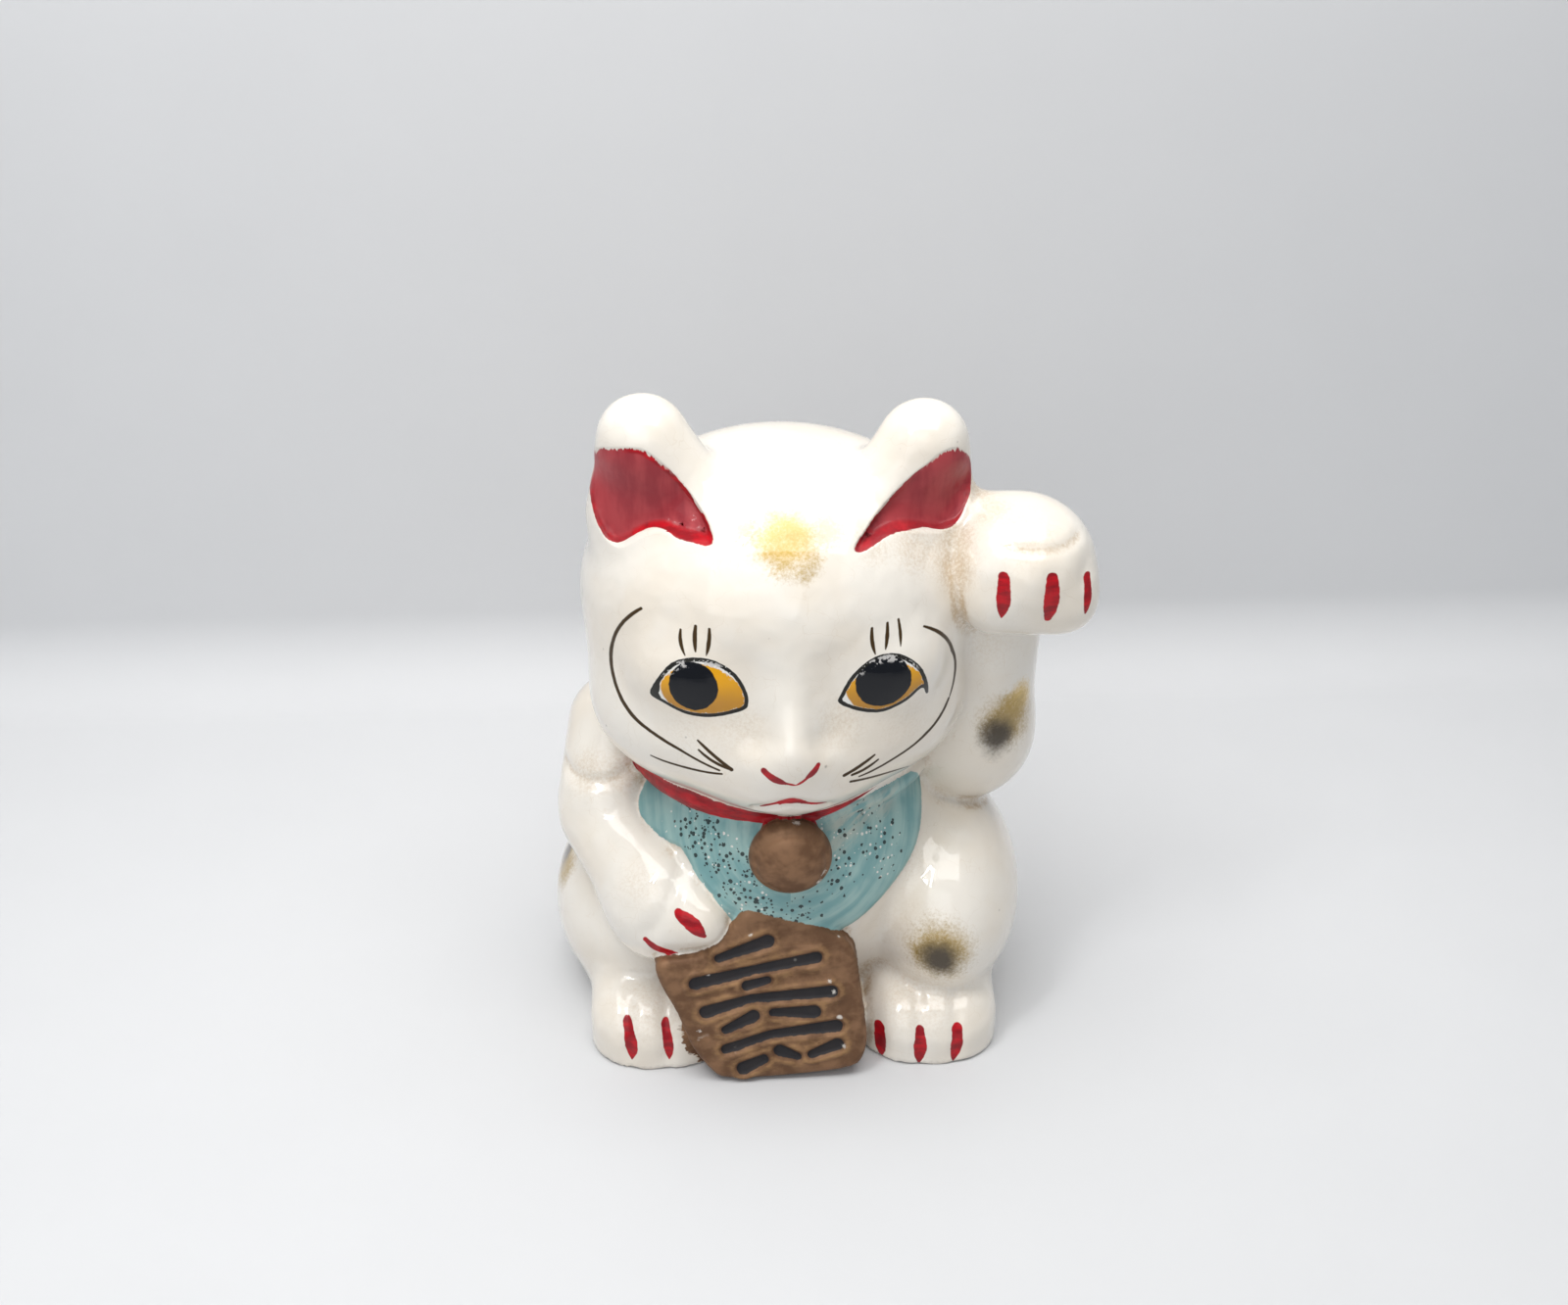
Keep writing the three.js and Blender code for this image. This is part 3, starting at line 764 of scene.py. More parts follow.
OLIVE_SPOTS = [
    ((0.2, -44, 161.6), 9.5, 0.40), ((44.0, -54, 36.2), 14.5, 1), ((65.8, -21, 96.0), 13.5, 1), ((-69.2, -5, 39.5), 11.5, 0.9)]
BEIGE_SPOTS = [((9.5, -38, 166.5), 7.0, 0.8), ((-12.5, -38, 167.5), 6.0, 0.8), ((37.5, -56, 34.5), 9.0, 1)]
DARK_SPOTS = [((43.4, -55, 33.8), 10.0, 1), ((63.0, -24, 91.5), 10.0, 1), ((-69.8, 0, 41), 8.5, 0.9)]
WHITE_SPECKS = [
    ((-35, -38, 77), 10, 0.3), ((-22, -48, 72), 13, 0.3), ((15, -50, 72), 12, 0.4), ((24, -45, 72), 13, 0.4),
    ((-12, -54, 58), 11, 0.35)]
DARK_SPECKS = [
    ((-31, -41, 77), 8, 0.9), ((-26, -44, 72), 9, 0.9), ((-20, -48, 67), 9, 0.9), ((-15, -51, 62), 9, 0.95),
    ((-10, -54, 55), 9, 0.9), ((0, -55, 52), 9, 0.9), ((12, -52, 64), 8, 0.6), ((20, -46, 76), 9, 0.5),
    ((26, -45, 70), 12, 0.3)]
WORN_PLACES = [((15, -46, 77), 7, 0.8), ((20, -44, 80), 7, 0.9), ((12, -48, 73), 6, 0.7), ((27, -38, 80), 7, 0.7)]
CHIPPED_PLACES = [
    ((11.6, -59.8, 27.5), 0.9, 1), ((10.2, -60.3, 31.8), 0.9, 1), ((14.5, -64.2, 10.8), 1.1, 1),
    ((-12.6, -56.8, 46.9), 0.9, 1), ((-25.3, -58.6, 34.4), 0.8, 1), ((-28.3, -62.9, 17.1), 1.0, 1),
    ((0.7, -54.4, 83.4), 1.4, 1), ((8.6, -59, 69.0), 1.6, 1), ((6.9, -57.8, 65.3), 1.4, 1)]

p = points.T
top = np.minimum(head(p), np.minimum(ear(p, *EARS[0]), ear(p, *EARS[1])))
x, up, out = on_plaque(p)
VALUES = {
    "ear_edge": ear_paint(p),
    "eye_left_edge": eye_paint(p, EYE_LEFT),
    "eye_right_edge": eye_paint(p, EYE_RIGHT),
    "bib_edge": np.maximum(bib_edge(p), 6 - 4 * top),
    "collar_edge": collar_paint(p, top),
    "fold_line": fold_paint(p),
    "bell_edge": np.clip(bell(p), -3, 8),
    "plaque_edge": np.clip(plaque(p), -3, 8),
    "mark_edge": np.where(out > -3, mark_edge(p), 9.0),
    "head_edge": np.clip(top, -3, 8),
    # How deep in a crease: it drives the painted crease shade and the soiling.
    "crease": crease(p, points),
    "grime": heaped(p, GRIME_AND_SHADE_PLACES),
    "white_specks": heaped(p, WHITE_SPECKS),
    "dark_specks": heaped(p, DARK_SPECKS),
    "worn": heaped(p, WORN_PLACES),
    "yellow_spot": nearness(p, YELLOW_SPOTS),
    "olive_spot": nearness(p, OLIVE_SPOTS),
    "beige_spot": nearness(p, BEIGE_SPOTS),
    "dark_spot": nearness(p, DARK_SPOTS),
    "chipped": nearness(p, CHIPPED_PLACES),
}
for name, value in VALUES.items():
    print(name, round(float(value.min()), 2), round(float(value.max()), 2))

# %% The mesh object
mesh = bpy.data.meshes.new("lucky_cat")
mesh.from_pydata((points * MM).tolist(), [], triangles.tolist())
mesh.validate()
mesh.shade_smooth()
for name, value in VALUES.items():
    mesh.attributes.new(name, "FLOAT", "POINT").data.foreach_set("value", value.astype(np.float32))
cat_object = bpy.data.objects.new("lucky_cat", mesh)
bpy.context.scene.collection.objects.link(cat_object)
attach(cat_object, "root")
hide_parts("cat_bank")
print("mesh", len(mesh.vertices), "points", len(mesh.polygons), "triangles")

# %% [markdown]
# ## Short words for shader nodes
# The finishes are drawn by nodes, so that nothing depends on an image. A tree of many nodes is easy
# to lose oneself in. These few helpers add a node, join what it needs, and hand back its result, so
# that a finish reads like a recipe.


# %% Node helpers
class Recipe:
    """Adds nodes to one tree. A value given to a call is a number, a colour, or another node's output."""

    def __init__(self, tree):
        self.tree = tree

    def node(self, kind, inputs=(), **settings):
        made = self.tree.nodes.new(kind)
        for name, value in settings.items():
            setattr(made, name, value)
        for name, value in dict(inputs).items():
            if isinstance(value, bpy.types.NodeSocket):
                self.tree.links.new(value, made.inputs[name])
            else:
                made.inputs[name].default_value = value
        return made

    def math(self, operation, a, b=0.0, c=0.0, clamp=False):
        return self.node("ShaderNodeMath", {0: a, 1: b, 2: c}, operation=operation, use_clamp=clamp).outputs[0]

    def vector(self, operation, a, b=(0, 0, 0), out=0):
        return self.node("ShaderNodeVectorMath", {0: a, 1: b}, operation=operation).outputs[out]

    def scaled(self, a, by):
        return self.node("ShaderNodeVectorMath", {0: a, 3: by}, operation="SCALE").outputs[0]

    def split(self, place):
        return self.node("ShaderNodeSeparateXYZ", {0: place}).outputs

    def step(self, value, start, end):
        """A soft step from 0 where value is start to 1 where it is end."""
        return self.node("ShaderNodeMapRange", {0: value, 1: start, 2: end}, interpolation_type="SMOOTHSTEP").outputs[0]

    def mix(self, share, a, b):
        return self.node("ShaderNodeMix", {0: share, 6: a, 7: b}, data_type="RGBA").outputs[2]

    def blend(self, share, a, b):
        return self.node("ShaderNodeMix", {0: share, 2: a, 3: b}, data_type="FLOAT").outputs[0]

    def noise(self, place, scale, detail=2.0, rough=0.5, stretch=(1, 1, 1)):
        place = self.vector("MULTIPLY", place, stretch)
        return self.node("ShaderNodeTexNoise", {"Vector": place, "Scale": scale, "Detail": detail, "Roughness": rough}).outputs[0]

    def attribute(self, name, out="Fac"):
        return self.node("ShaderNodeAttribute", attribute_name=name).outputs[out]

    def most(self, masks):
        result = masks[0]
        for mask in masks[1:]:
            result = self.math("MAXIMUM", result, mask)
        return result

    def use(self, group, **inputs):
        made = self.tree.nodes.new("ShaderNodeGroup")
        made.node_tree = group
        for name, value in inputs.items():
            name = name.replace("_", " ").capitalize()
            if isinstance(value, bpy.types.NodeSocket):
                self.tree.links.new(value, made.inputs[name])
            else:
                made.inputs[name].default_value = value
        return made.outputs


def new_group(name, inputs, outputs):
    """An empty node group with these sockets, its recipe, and the node that its results go to."""
    tree = bpy.data.node_groups.new(name, "ShaderNodeTree")
    for direction, sockets in (("INPUT", inputs), ("OUTPUT", outputs)):
        for label, (kind, value) in sockets.items():
            made = tree.interface.new_socket(label, in_out=direction, socket_type="NodeSocket" + kind)
            if direction == "INPUT" and value is not None:
                made.default_value = value
    return tree, Recipe(tree), tree.nodes.new("NodeGroupInput").outputs, tree.nodes.new("NodeGroupOutput").inputs


def finish_group(tree, slots, results):
    for name, value in results.items():
        tree.links.new(value, slots[name])
    print("node group", tree.name, "with", len(tree.nodes), "nodes")
    return tree


# %% [markdown]
# ## One stroke of a pointed brush
# Lashes, whiskers, cheek lines, nose, mouth and claws are all single strokes: thin where the brush
# lands, wide at its belly, thin again where it lifts. One group draws such a stroke from a start, an
# end, a bow to one side, and three widths. It works in the plane seen from the front, in
# millimetres, as the painter did.

# %% Group: brush stroke
tree, r, given, slots = new_group(
    "Brush stroke",
    {"Place": ("Vector", None), "Start": ("Vector", None), "End": ("Vector", None), "Bow": ("Vector", None),
     "Widths": ("Vector", (0.5, 1, 0.5)), "Shake": ("Float", 0.0)},
    {"Mask": ("Float", None)})
seen = r.vector("MULTIPLY", given["Place"], (1, 0, 1))
reach = r.vector("SUBTRACT", given["End"], given["Start"])
gone = r.vector("SUBTRACT", seen, given["Start"])
along = r.math("DIVIDE", r.vector("DOT_PRODUCT", gone, reach, out=1), r.vector("DOT_PRODUCT", reach, reach, out=1))
along = r.math("MAXIMUM", r.math("MINIMUM", along, 1.0), 0.0)
arch = r.math("MULTIPLY", r.math("MULTIPLY", along, r.math("SUBTRACT", 1.0, along)), 4.0)
centre = r.vector("ADD", r.scaled(reach, along), r.scaled(given["Bow"], arch))
away = r.vector("LENGTH", r.vector("SUBTRACT", gone, centre), out=1)
first, belly, last = r.split(given["Widths"])
half = r.math("MULTIPLY", r.blend(arch, r.blend(along, first, last), belly), 0.5)
half = r.math("MULTIPLY", half, r.math("ADD", r.math("MULTIPLY", given["Shake"], 0.4), 1.0))
BRUSH_STROKE = finish_group(tree, slots, {"Mask": r.step(r.math("SUBTRACT", away, half), 0.16, -0.10)})

# %% [markdown]
# ## Where a colour stops
# No hand-painted border is a clean curve. This group takes the distance to a border that the mesh
# remembers, shakes it a little, and gives the mask of what lies inside. The shake is a noise that
# the material makes once and hands to all its borders, because noise is the dearest part to render.

# %% Group: painted border
tree, r, given, slots = new_group(
    "Painted border",
    {"Distance": ("Float", None), "Shake": ("Float", 0.0), "Wobble": ("Float", 0.6), "Soft": ("Float", 0.12)},
    {"Mask": ("Float", None)})
edge = r.math("ADD", given["Distance"], r.math("MULTIPLY", given["Shake"], given["Wobble"]))
mask = r.step(r.math("DIVIDE", edge, given["Soft"]), 1.0, -1.0)
PAINTED_BORDER = finish_group(tree, slots, {"Mask": mask})

# %% [markdown]
# ## Oval marks and sprayed spots
# Pupils and irises are ovals with a clear edge. The cat's spots were sprayed with an airbrush:
# dark at the middle, olive further out, breaking up into droplets at the edge. A spot is soft, so
# the mesh remembers how near each point lies to its middle, and the group only adds the droplets.

# %% Groups: oval mark, sprayed spot
tree, r, given, slots = new_group(
    "Oval mark",
    {"Place": ("Vector", None), "Centre": ("Vector", None), "Stretch": ("Vector", (1, 1, 1)),
     "Shake": ("Float", 0.0), "Wobble": ("Float", 0.04), "Soft": ("Float", 0.02)},
    {"Mask": ("Float", None)})
offset = r.vector("MULTIPLY", r.vector("SUBTRACT", given["Place"], given["Centre"]), given["Stretch"])
near = r.math("ADD", r.vector("LENGTH", offset, out=1), r.math("MULTIPLY", given["Shake"], given["Wobble"]))
mask = r.step(r.math("DIVIDE", r.math("SUBTRACT", near, 1.0), given["Soft"]), 1.0, -1.0)
OVAL_MARK = finish_group(tree, slots, {"Mask": mask})

tree, r, given, slots = new_group(
    "Sprayed spot",
    {"Nearness": ("Float", 0.0), "Depth": ("Float", 1.0), "Grit": ("Float", 0.5), "Grain": ("Float", 0.0),
     "Drift": ("Float", 0.0)},
    {"Mask": ("Float", None)})
fall = r.step(r.math("ADD", given["Nearness"], r.math("MULTIPLY", given["Drift"], 0.5)), 0.0, 1.0)
wet = r.math("ADD", fall, r.math("MULTIPLY", r.math("MULTIPLY", given["Grain"], given["Grit"]), 3.0))
wet = r.math("MULTIPLY", r.step(wet, 0.08, 0.92), r.step(fall, 0.0, 0.1))
SPRAYED_SPOT = finish_group(tree, slots, {"Mask": r.math("MULTIPLY", wet, given["Depth"])})

# %% [markdown]
# ## Specks
# Old cold paint flakes off in specks, and glaze has pinholes. Both are small dots strewn at random:
# one dot in some of the cells of a Voronoi pattern. The share of cells is an input, so specks can
# crowd in one place and be rare in another.

# %% Group: specks
tree, r, given, slots = new_group(
    "Specks",
    {"Place": ("Vector", None), "Scale": ("Float", 0.6), "Share": ("Float", 0.2), "Size": ("Float", 0.3)},
    {"Mask": ("Float", None)})
cells = r.node("ShaderNodeTexVoronoi", {"Vector": given["Place"], "Scale": given["Scale"]})
chance = r.split(cells.outputs["Color"])
chosen = r.math("LESS_THAN", chance[0], given["Share"])
size = r.math("MULTIPLY", given["Size"], r.math("ADD", chance[1], 0.4))
dot = r.step(r.math("SUBTRACT", cells.outputs["Distance"], size), 0.05, -0.05)
SPECKS = finish_group(tree, slots, {"Mask": r.math("MULTIPLY", dot, chosen)})

# %% [markdown]
# ## The white glaze
# The glaze is a warm white that pooled and thinned as it ran, so it drifts a little in colour. It
# has crazed into a fine net of cracks, too thin to see from afar, and has a few pinholes. Each crease
# and each listed joint is painted a grainy darker beige, partly soiled glaze and partly painted shade. The
# group gives the colour, a height for the bump, and how soiled or shaded the place is. The gloss itself is a coat on
# the shader, because that is what a glaze is.

# %% Group: white glaze
GLAZE_WARM = (0.82, 0.745, 0.640, 1)
GLAZE_COOL = (0.85, 0.80, 0.72, 1)
GLAZE_DIRT_AND_SHADE = (0.56, 0.415, 0.255, 1)
PINHOLE = (0.10, 0.075, 0.05, 1)

tree, r, given, slots = new_group(
    "White glaze",
    {"Place": ("Vector", None), "Crease": ("Float", 0.0), "Grime": ("Float", 0.0), "Grain": ("Float", 0.0)},
    {"Colour": ("Color", None), "Height": ("Float", None), "Dirt and shade": ("Float", None)})
place = given["Place"]
colour = r.mix(r.step(r.noise(place, 0.035, 3.0), 0.36, 0.64), GLAZE_WARM, GLAZE_COOL)
cloud = r.noise(place, 0.09, 3.0, 0.6)
# Creases and listed joints get a darker beige here: partly soiled glaze, partly painted shade.
deep = r.step(given["Crease"], 0.16, 0.62)
stain_and_shade = r.math("MULTIPLY", deep, r.step(cloud, 0.30, 0.62))
stain_and_shade = r.math("MAXIMUM", stain_and_shade, given["Grime"])
grain = r.math("ADD", given["Grain"], r.math("MULTIPLY", stain_and_shade, 0.30))
dirt_and_shade = r.math("MULTIPLY", stain_and_shade, r.step(grain, -0.06, 0.42), clamp=True)
colour = r.mix(r.math("MULTIPLY", dirt_and_shade, 0.85), colour, GLAZE_DIRT_AND_SHADE)
bend = r.scaled(r.node("ShaderNodeTexNoise", {"Vector": place, "Scale": 0.25, "Detail": 1.0}).outputs[1], 5.0)
cracks = r.node("ShaderNodeTexVoronoi", {"Vector": r.vector("ADD", place, bend), "Scale": 0.16}, feature="DISTANCE_TO_EDGE")
crazed = r.math("MULTIPLY", r.step(cracks.outputs["Distance"], 0.016, 0.004), r.step(cloud, 0.40, 0.62))
colour = r.mix(r.math("MULTIPLY", crazed, 0.16), colour, GLAZE_DIRT_AND_SHADE)
pinholes = r.use(SPECKS, place=place, scale=0.13, share=0.16, size=0.035)["Mask"]
colour = r.mix(r.math("MULTIPLY", pinholes, 0.7), colour, PINHOLE)
orange_peel = r.math("MULTIPLY", r.noise(place, 0.14, 1.0), 0.5)
height = r.math("ADD", orange_peel, r.math("MULTIPLY", given["Grain"], 0.02))
WHITE_GLAZE = finish_group(tree, slots, {"Colour": colour, "Height": height, "Dirt and shade": dirt_and_shade})

# %% [markdown]
# ## Brushed colour
# Red, teal and brown were all laid on with a brush over the glaze. A brush leaves streaks, lighter
# where it was dry and darker where the colour pooled, and low ridges along them. One group makes
# the streaks from noise stretched along the stroke, and mixes two shades of the colour by them.

# %% Group: brushed colour
tree, r, given, slots = new_group(
    "Brushed colour",
    {"Place": ("Vector", None), "Along": ("Vector", (0.1, 0.1, 1)), "Light": ("Color", (1, 1, 1, 1)),
     "Dark": ("Color", (0, 0, 0, 1)), "Streaks": ("Float", 1.0), "Pool": ("Float", 0.0)},
    {"Colour": ("Color", None), "Height": ("Float", None)})
stretched = r.vector("MULTIPLY", given["Place"], given["Along"])
streak = r.node("ShaderNodeTexNoise", {"Vector": stretched, "Scale": given["Streaks"], "Detail": 3.0, "Roughness": 0.6}).outputs[0]
share = r.step(r.math("ADD", streak, r.math("MULTIPLY", given["Pool"], 0.5)), 0.34, 0.66)
BRUSHED_COLOUR = finish_group(
    tree, slots, {"Colour": r.mix(share, given["Dark"], given["Light"]), "Height": r.math("MULTIPLY", streak, 0.12)})

# %% [markdown]
# ## The strokes on the face and paws
# Each line below is one stroke of the brush: where it starts and ends as seen from the front, how
# wide it is at the start, the belly and the end, and how far it bows to the side. A long line such
# as the cheek's is a chain of strokes, each through three points of the line.

# %% Strokes
def chain(points, widths):
    """Strokes through every second point of a line, bowed to pass the ones between."""
    given = np.array(points, float)
    made = []
    for n in range(0, len(given) - 2, 2):
        a, b, c = given[n : n + 3]
        t = float(np.clip((b - a) @ (c - a) / ((c - a) @ (c - a)), 0.2, 0.8))
        bow = (b - a - (c - a) * t) / (4 * t * (1 - t))
        share = [k / (len(given) - 1) for k in (n, n + 1, n + 2)]
        first, belly, last = (float(np.interp(s, (0, 0.5, 1), widths)) for s in share)
        made.append((tuple(a), tuple(c), tuple(bow), (first, belly, last)))
    return made


LASHES = [
    ((-30.7, 142.2), (-29.7, 135.9), (-0.5, -0.4), (0.6, 1.0, 0.3)),
    ((-26.6, 143.8), (-26.8, 137.2), (-0.2, 0), (0.8, 1.2, 0.4)),
    ((-22.9, 143.6), (-23.9, 136.4), (0.3, 0), (0.7, 1.1, 0.2)),
    ((21.4, 142.5), (22.3, 135.5), (-0.4, 0), (0.7, 1.1, 0.3)),
    ((25.8, 143.0), (25.2, 136.4), (0.2, 0), (0.7, 1.1, 0.3)),
    ((29.0, 143.2), (29.5, 136.4), (0.2, 0), (0.6, 0.9, 0.2))]
CHEEKS = chain(
    [(-41.4, 144.7), (-46.9, 138.4), (-50, 130.5), (-50.6, 124.3), (-49.2, 118), (-46.6, 114), (-42.3, 110.9),
     (-36.8, 108.5), (-31.4, 106.3), (-26, 104.1), (-21, 102.8)], (0.7, 1.25, 0.6))
CHEEKS += chain([(36.5, 139.2), (42.3, 134.2), (45.9, 126.8), (47.4, 120), (45.6, 112.9)], (0.5, 1.0, 0.5))
CHEEKS += chain([(45.2, 112.4), (42.5, 108.8), (38.3, 105.6), (31, 101.8), (18.1, 99.4)], (0.8, 1.1, 0.5))
WHISKERS = [
    ((-26.7, 110.5), (-17.7, 103.9), (0.4, -0.6), (0.6, 1.0, 1.2)),
    ((-26.5, 107.7), (-18.1, 104.0), (-0.2, -0.7), (0.6, 0.9, 1.0)),
    ((-40.0, 101.5), (-20.3, 101.8), (0.3, -1.0), (0.5, 0.8, 0.6)),
    ((22.5, 104.8), (13.7, 101.4), (-0.4, -0.4), (0.6, 1.0, 1.0)),
    ((23.6, 102.8), (16.0, 100.8), (-0.2, -0.5), (0.6, 0.9, 0.8)),
    ((33.5, 93.2), (15.6, 98.6), (-1, 0.7), (0.5, 0.8, 0.8))]
NOSE_AND_MOUTH = [
    ((-8.7, 105.9), (-3.0, 102.8), (-0.3, -0.3), (2.0, 2.4, 1.0)),
    ((-3.4, 103.0), (-0.1, 102.0), (0, 0), (1.1, 0.8, 0.3)),
    ((6.0, 107.4), (3.1, 104.5), (0.2, -0.1), (1.5, 2.0, 1.1)),
    ((3.4, 104.8), (-0.1, 102.0), (0.2, -0.1), (1.1, 0.8, 0.3)),
    ((-9.6, 90.6), (-3.6, 93.9), (-0.2, 0.3), (0.4, 1.0, 1.8)),
    ((-4.2, 93.6), (2.4, 93.5), (0, 1.3), (1.8, 2.6, 1.7)),
    ((2.0, 93.6), (9.0, 91.0), (-0.2, -0.2), (1.6, 1.0, 0.4))]
CLAWS = [
    ((58.7, 151.6), (58.6, 139.6), (0.1, 0), (3.0, 3.8, 0.5)), ((72.0, 151.4), (71.6, 139.4), (0.3, 0), (3.4, 4.5, 2.2)),
    ((82.9, 149.0), (82.5, 139.4), (0.4, 0), (2.2, 2.5, 0.6)),
    ((-33.2, 53.8), (-26.2, 48.3), (0.3, 0.5), (2.8, 4.6, 1.4)), ((-43.2, 43.9), (-34.2, 39.8), (-0.5, -1.2), (1.6, 2.7, 0.4)),
    ((-49.6, 14.2), (-48.6, 3.4), (0.4, 0), (2.8, 3.7, 0.5)), ((-38.4, 14.2), (-37.4, 3.4), (0.3, 0), (2.4, 3.0, 0.4)),
    ((25.9, 10.2), (26.4, 0.6), (0, 0), (2.8, 3.2, 0.5)), ((37.6, 11.4), (37.4, 0.8), (0.2, 0), (2.6, 3.8, 0.5)),
    ((48.8, 11.4), (47.8, 1.2), (0.4, 0), (3.2, 3.6, 0.7))]


def squared(stroke):
    """The same stroke with only that part of its bow which goes straight out sideways."""
    start, end, bow, widths = stroke
    dx, dz = end[0] - start[0], end[1] - start[1]
    share = (bow[0] * dx + bow[1] * dz) / (dx * dx + dz * dz)
    return start, end, (bow[0] - share * dx, bow[1] - share * dz), widths


def stroke_gap(x, z, start, end, bow, widths):
    """How far points seen from the front are from the edge of one stroke."""
    dx, dz = end[0] - start[0], end[1] - start[1]
    t = np.clip(((x - start[0]) * dx + (z - start[1]) * dz) / (dx * dx + dz * dz), 0, 1)
    arch = 4 * t * (1 - t)
    ends = widths[0] + (widths[2] - widths[0]) * t
    away = np.hypot(x - start[0] - dx * t - bow[0] * arch, z - start[1] - dz * t - bow[1] * arch)
    return away - (ends + (widths[1] - ends) * arch) / 2


# %% [markdown]
# Nearly forty strokes would make a slow shader if each point of the picture had to ask all of them.
# So each face of the mesh looks up its three nearest strokes once, here, and keeps their numbers. The
# shader then draws three strokes wherever it is.

# %% The three nearest strokes of each face
INK_STROKES = [squared(stroke) for stroke in LASHES + CHEEKS + WHISKERS]
RED_STROKES = [squared(stroke) for stroke in NOSE_AND_MOUTH + CLAWS]
middles = points[triangles].mean(1)
gaps = np.array([stroke_gap(middles[:, 0], middles[:, 2], *stroke) for stroke in INK_STROKES + RED_STROKES])
nearest = np.argsort(gaps, axis=0)[:3]
STROKE_PARTS = {
    "start": np.array([(start[0], 0, start[1]) for start, _, _, _ in INK_STROKES + RED_STROKES]),
    "end": np.array([(end[0], 0, end[1]) for _, end, _, _ in INK_STROKES + RED_STROKES]),
    "bow": np.array([(bow[0], 0, bow[1]) for _, _, bow, _ in INK_STROKES + RED_STROKES]),
    "widths": np.array([widths for _, _, _, widths in INK_STROKES + RED_STROKES])}
STROKE_RANKS = ("first", "second", "third")
for rank, name in enumerate(STROKE_RANKS):
    for part, numbers in STROKE_PARTS.items():
        chosen = numbers[nearest[rank]]
        if part == "widths":
            chosen = np.where(middles[:, 1:2] < -8, chosen, -1.0)
        made = mesh.attributes.new(f"{name}_{part}", "FLOAT_VECTOR", "FACE")
        made.data.foreach_set("vector", chosen.astype(np.float32).ravel())
    is_red = (nearest[rank] >= len(INK_STROKES)).astype(np.float32)
    mesh.attributes.new(f"{name}_is_red", "FLOAT", "FACE").data.foreach_set("value", is_red)
print(len(INK_STROKES), "ink strokes and", len(RED_STROKES), "red ones")


def strokes(r, place, shake):
    """The masks of the ink strokes and of the red strokes."""
    ink, red = [], []
    for name in STROKE_RANKS:
        parts = {part: r.attribute(f"{name}_{part}", "Vector") for part in STROKE_PARTS}
        mask = r.use(BRUSH_STROKE, place=place, shake=shake, **parts)["Mask"]
        is_red = r.attribute(f"{name}_is_red")
        red.append(r.math("MULTIPLY", mask, is_red))
        ink.append(r.math("MULTIPLY", mask, r.math("SUBTRACT", 1.0, is_red)))
    return r.most(ink), r.most(red)


# %% [markdown]
# ## Glazed and painted
# All the finishes of the outside share one material, because they lie on one skin and their borders
# cross the mesh freely. It starts with the white glaze and lays each colour over it, as the
# painters did: sprayed spots first, under the glaze, then the brushed colours on top of it. The
# cold colours are matt, so they take the glossy coat away where they lie.

# %% The paint's colours
RED_DEEP, RED_BRIGHT = (0.27, 0.006, 0.012, 1), (0.52, 0.006, 0.014, 1)
EAR_DEEP, EAR_LIGHT = (0.31, 0.030, 0.040, 1), (0.43, 0.056, 0.064, 1)
TEAL_DEEP, TEAL_LIGHT = (0.190, 0.365, 0.370, 1), (0.330, 0.495, 0.470, 1)
TEAL_WORN = (0.62, 0.58, 0.48, 1)
BROWN_DEEP, BROWN_LIGHT = (0.150, 0.078, 0.042, 1), (0.255, 0.140, 0.076, 1)
OCHRE_RUB = (0.46, 0.27, 0.12, 1)
SUNK_INK = (0.024, 0.026, 0.031, 1)
LINE_INK = (0.050, 0.027, 0.008, 1)
EYE_INK = (0.018, 0.017, 0.014, 1)
PUPIL_BLACK = (0.006, 0.007, 0.010, 1)
AMBER_DEEP, AMBER_BRIGHT = (0.50, 0.235, 0.028, 1), (0.80, 0.375, 0.006, 1)
EYE_WHITE = (0.80, 0.78, 0.74, 1)
FLAKED = (0.60, 0.58, 0.56, 1)
SPOT_CORE = (0.032, 0.020, 0.008, 1)
SPOT_OLIVE = (0.39, 0.25, 0.045, 1)
SPOT_YELLOW = (0.74, 0.49, 0.10, 1)
SPOT_BEIGE = (0.56, 0.43, 0.27, 1)
CHIP_WHITE = (0.80, 0.76, 0.70, 1)
SPECK_BLACK = (0.018, 0.018, 0.018, 1)

# %% Glaze, soiled and shaded creases, and sprayed spots
painted = bpy.data.materials.new("glazed_and_painted")
painted.use_nodes = True
painted.node_tree.nodes.clear()
r = Recipe(painted.node_tree)
place = r.scaled(r.node("ShaderNodeTexCoord").outputs["Object"], 1000.0)
sides = r.split(place)
front = r.step(sides[1], -8.0, -12.0)
grain = r.math("SUBTRACT", r.noise(place, 1.1, 3.0, 0.7), 0.5)
shake = r.math("SUBTRACT", r.noise(place, 0.5, 2.0), 0.5)
pool = r.math("SUBTRACT", r.noise(place, 0.12, 2.0), 0.5)
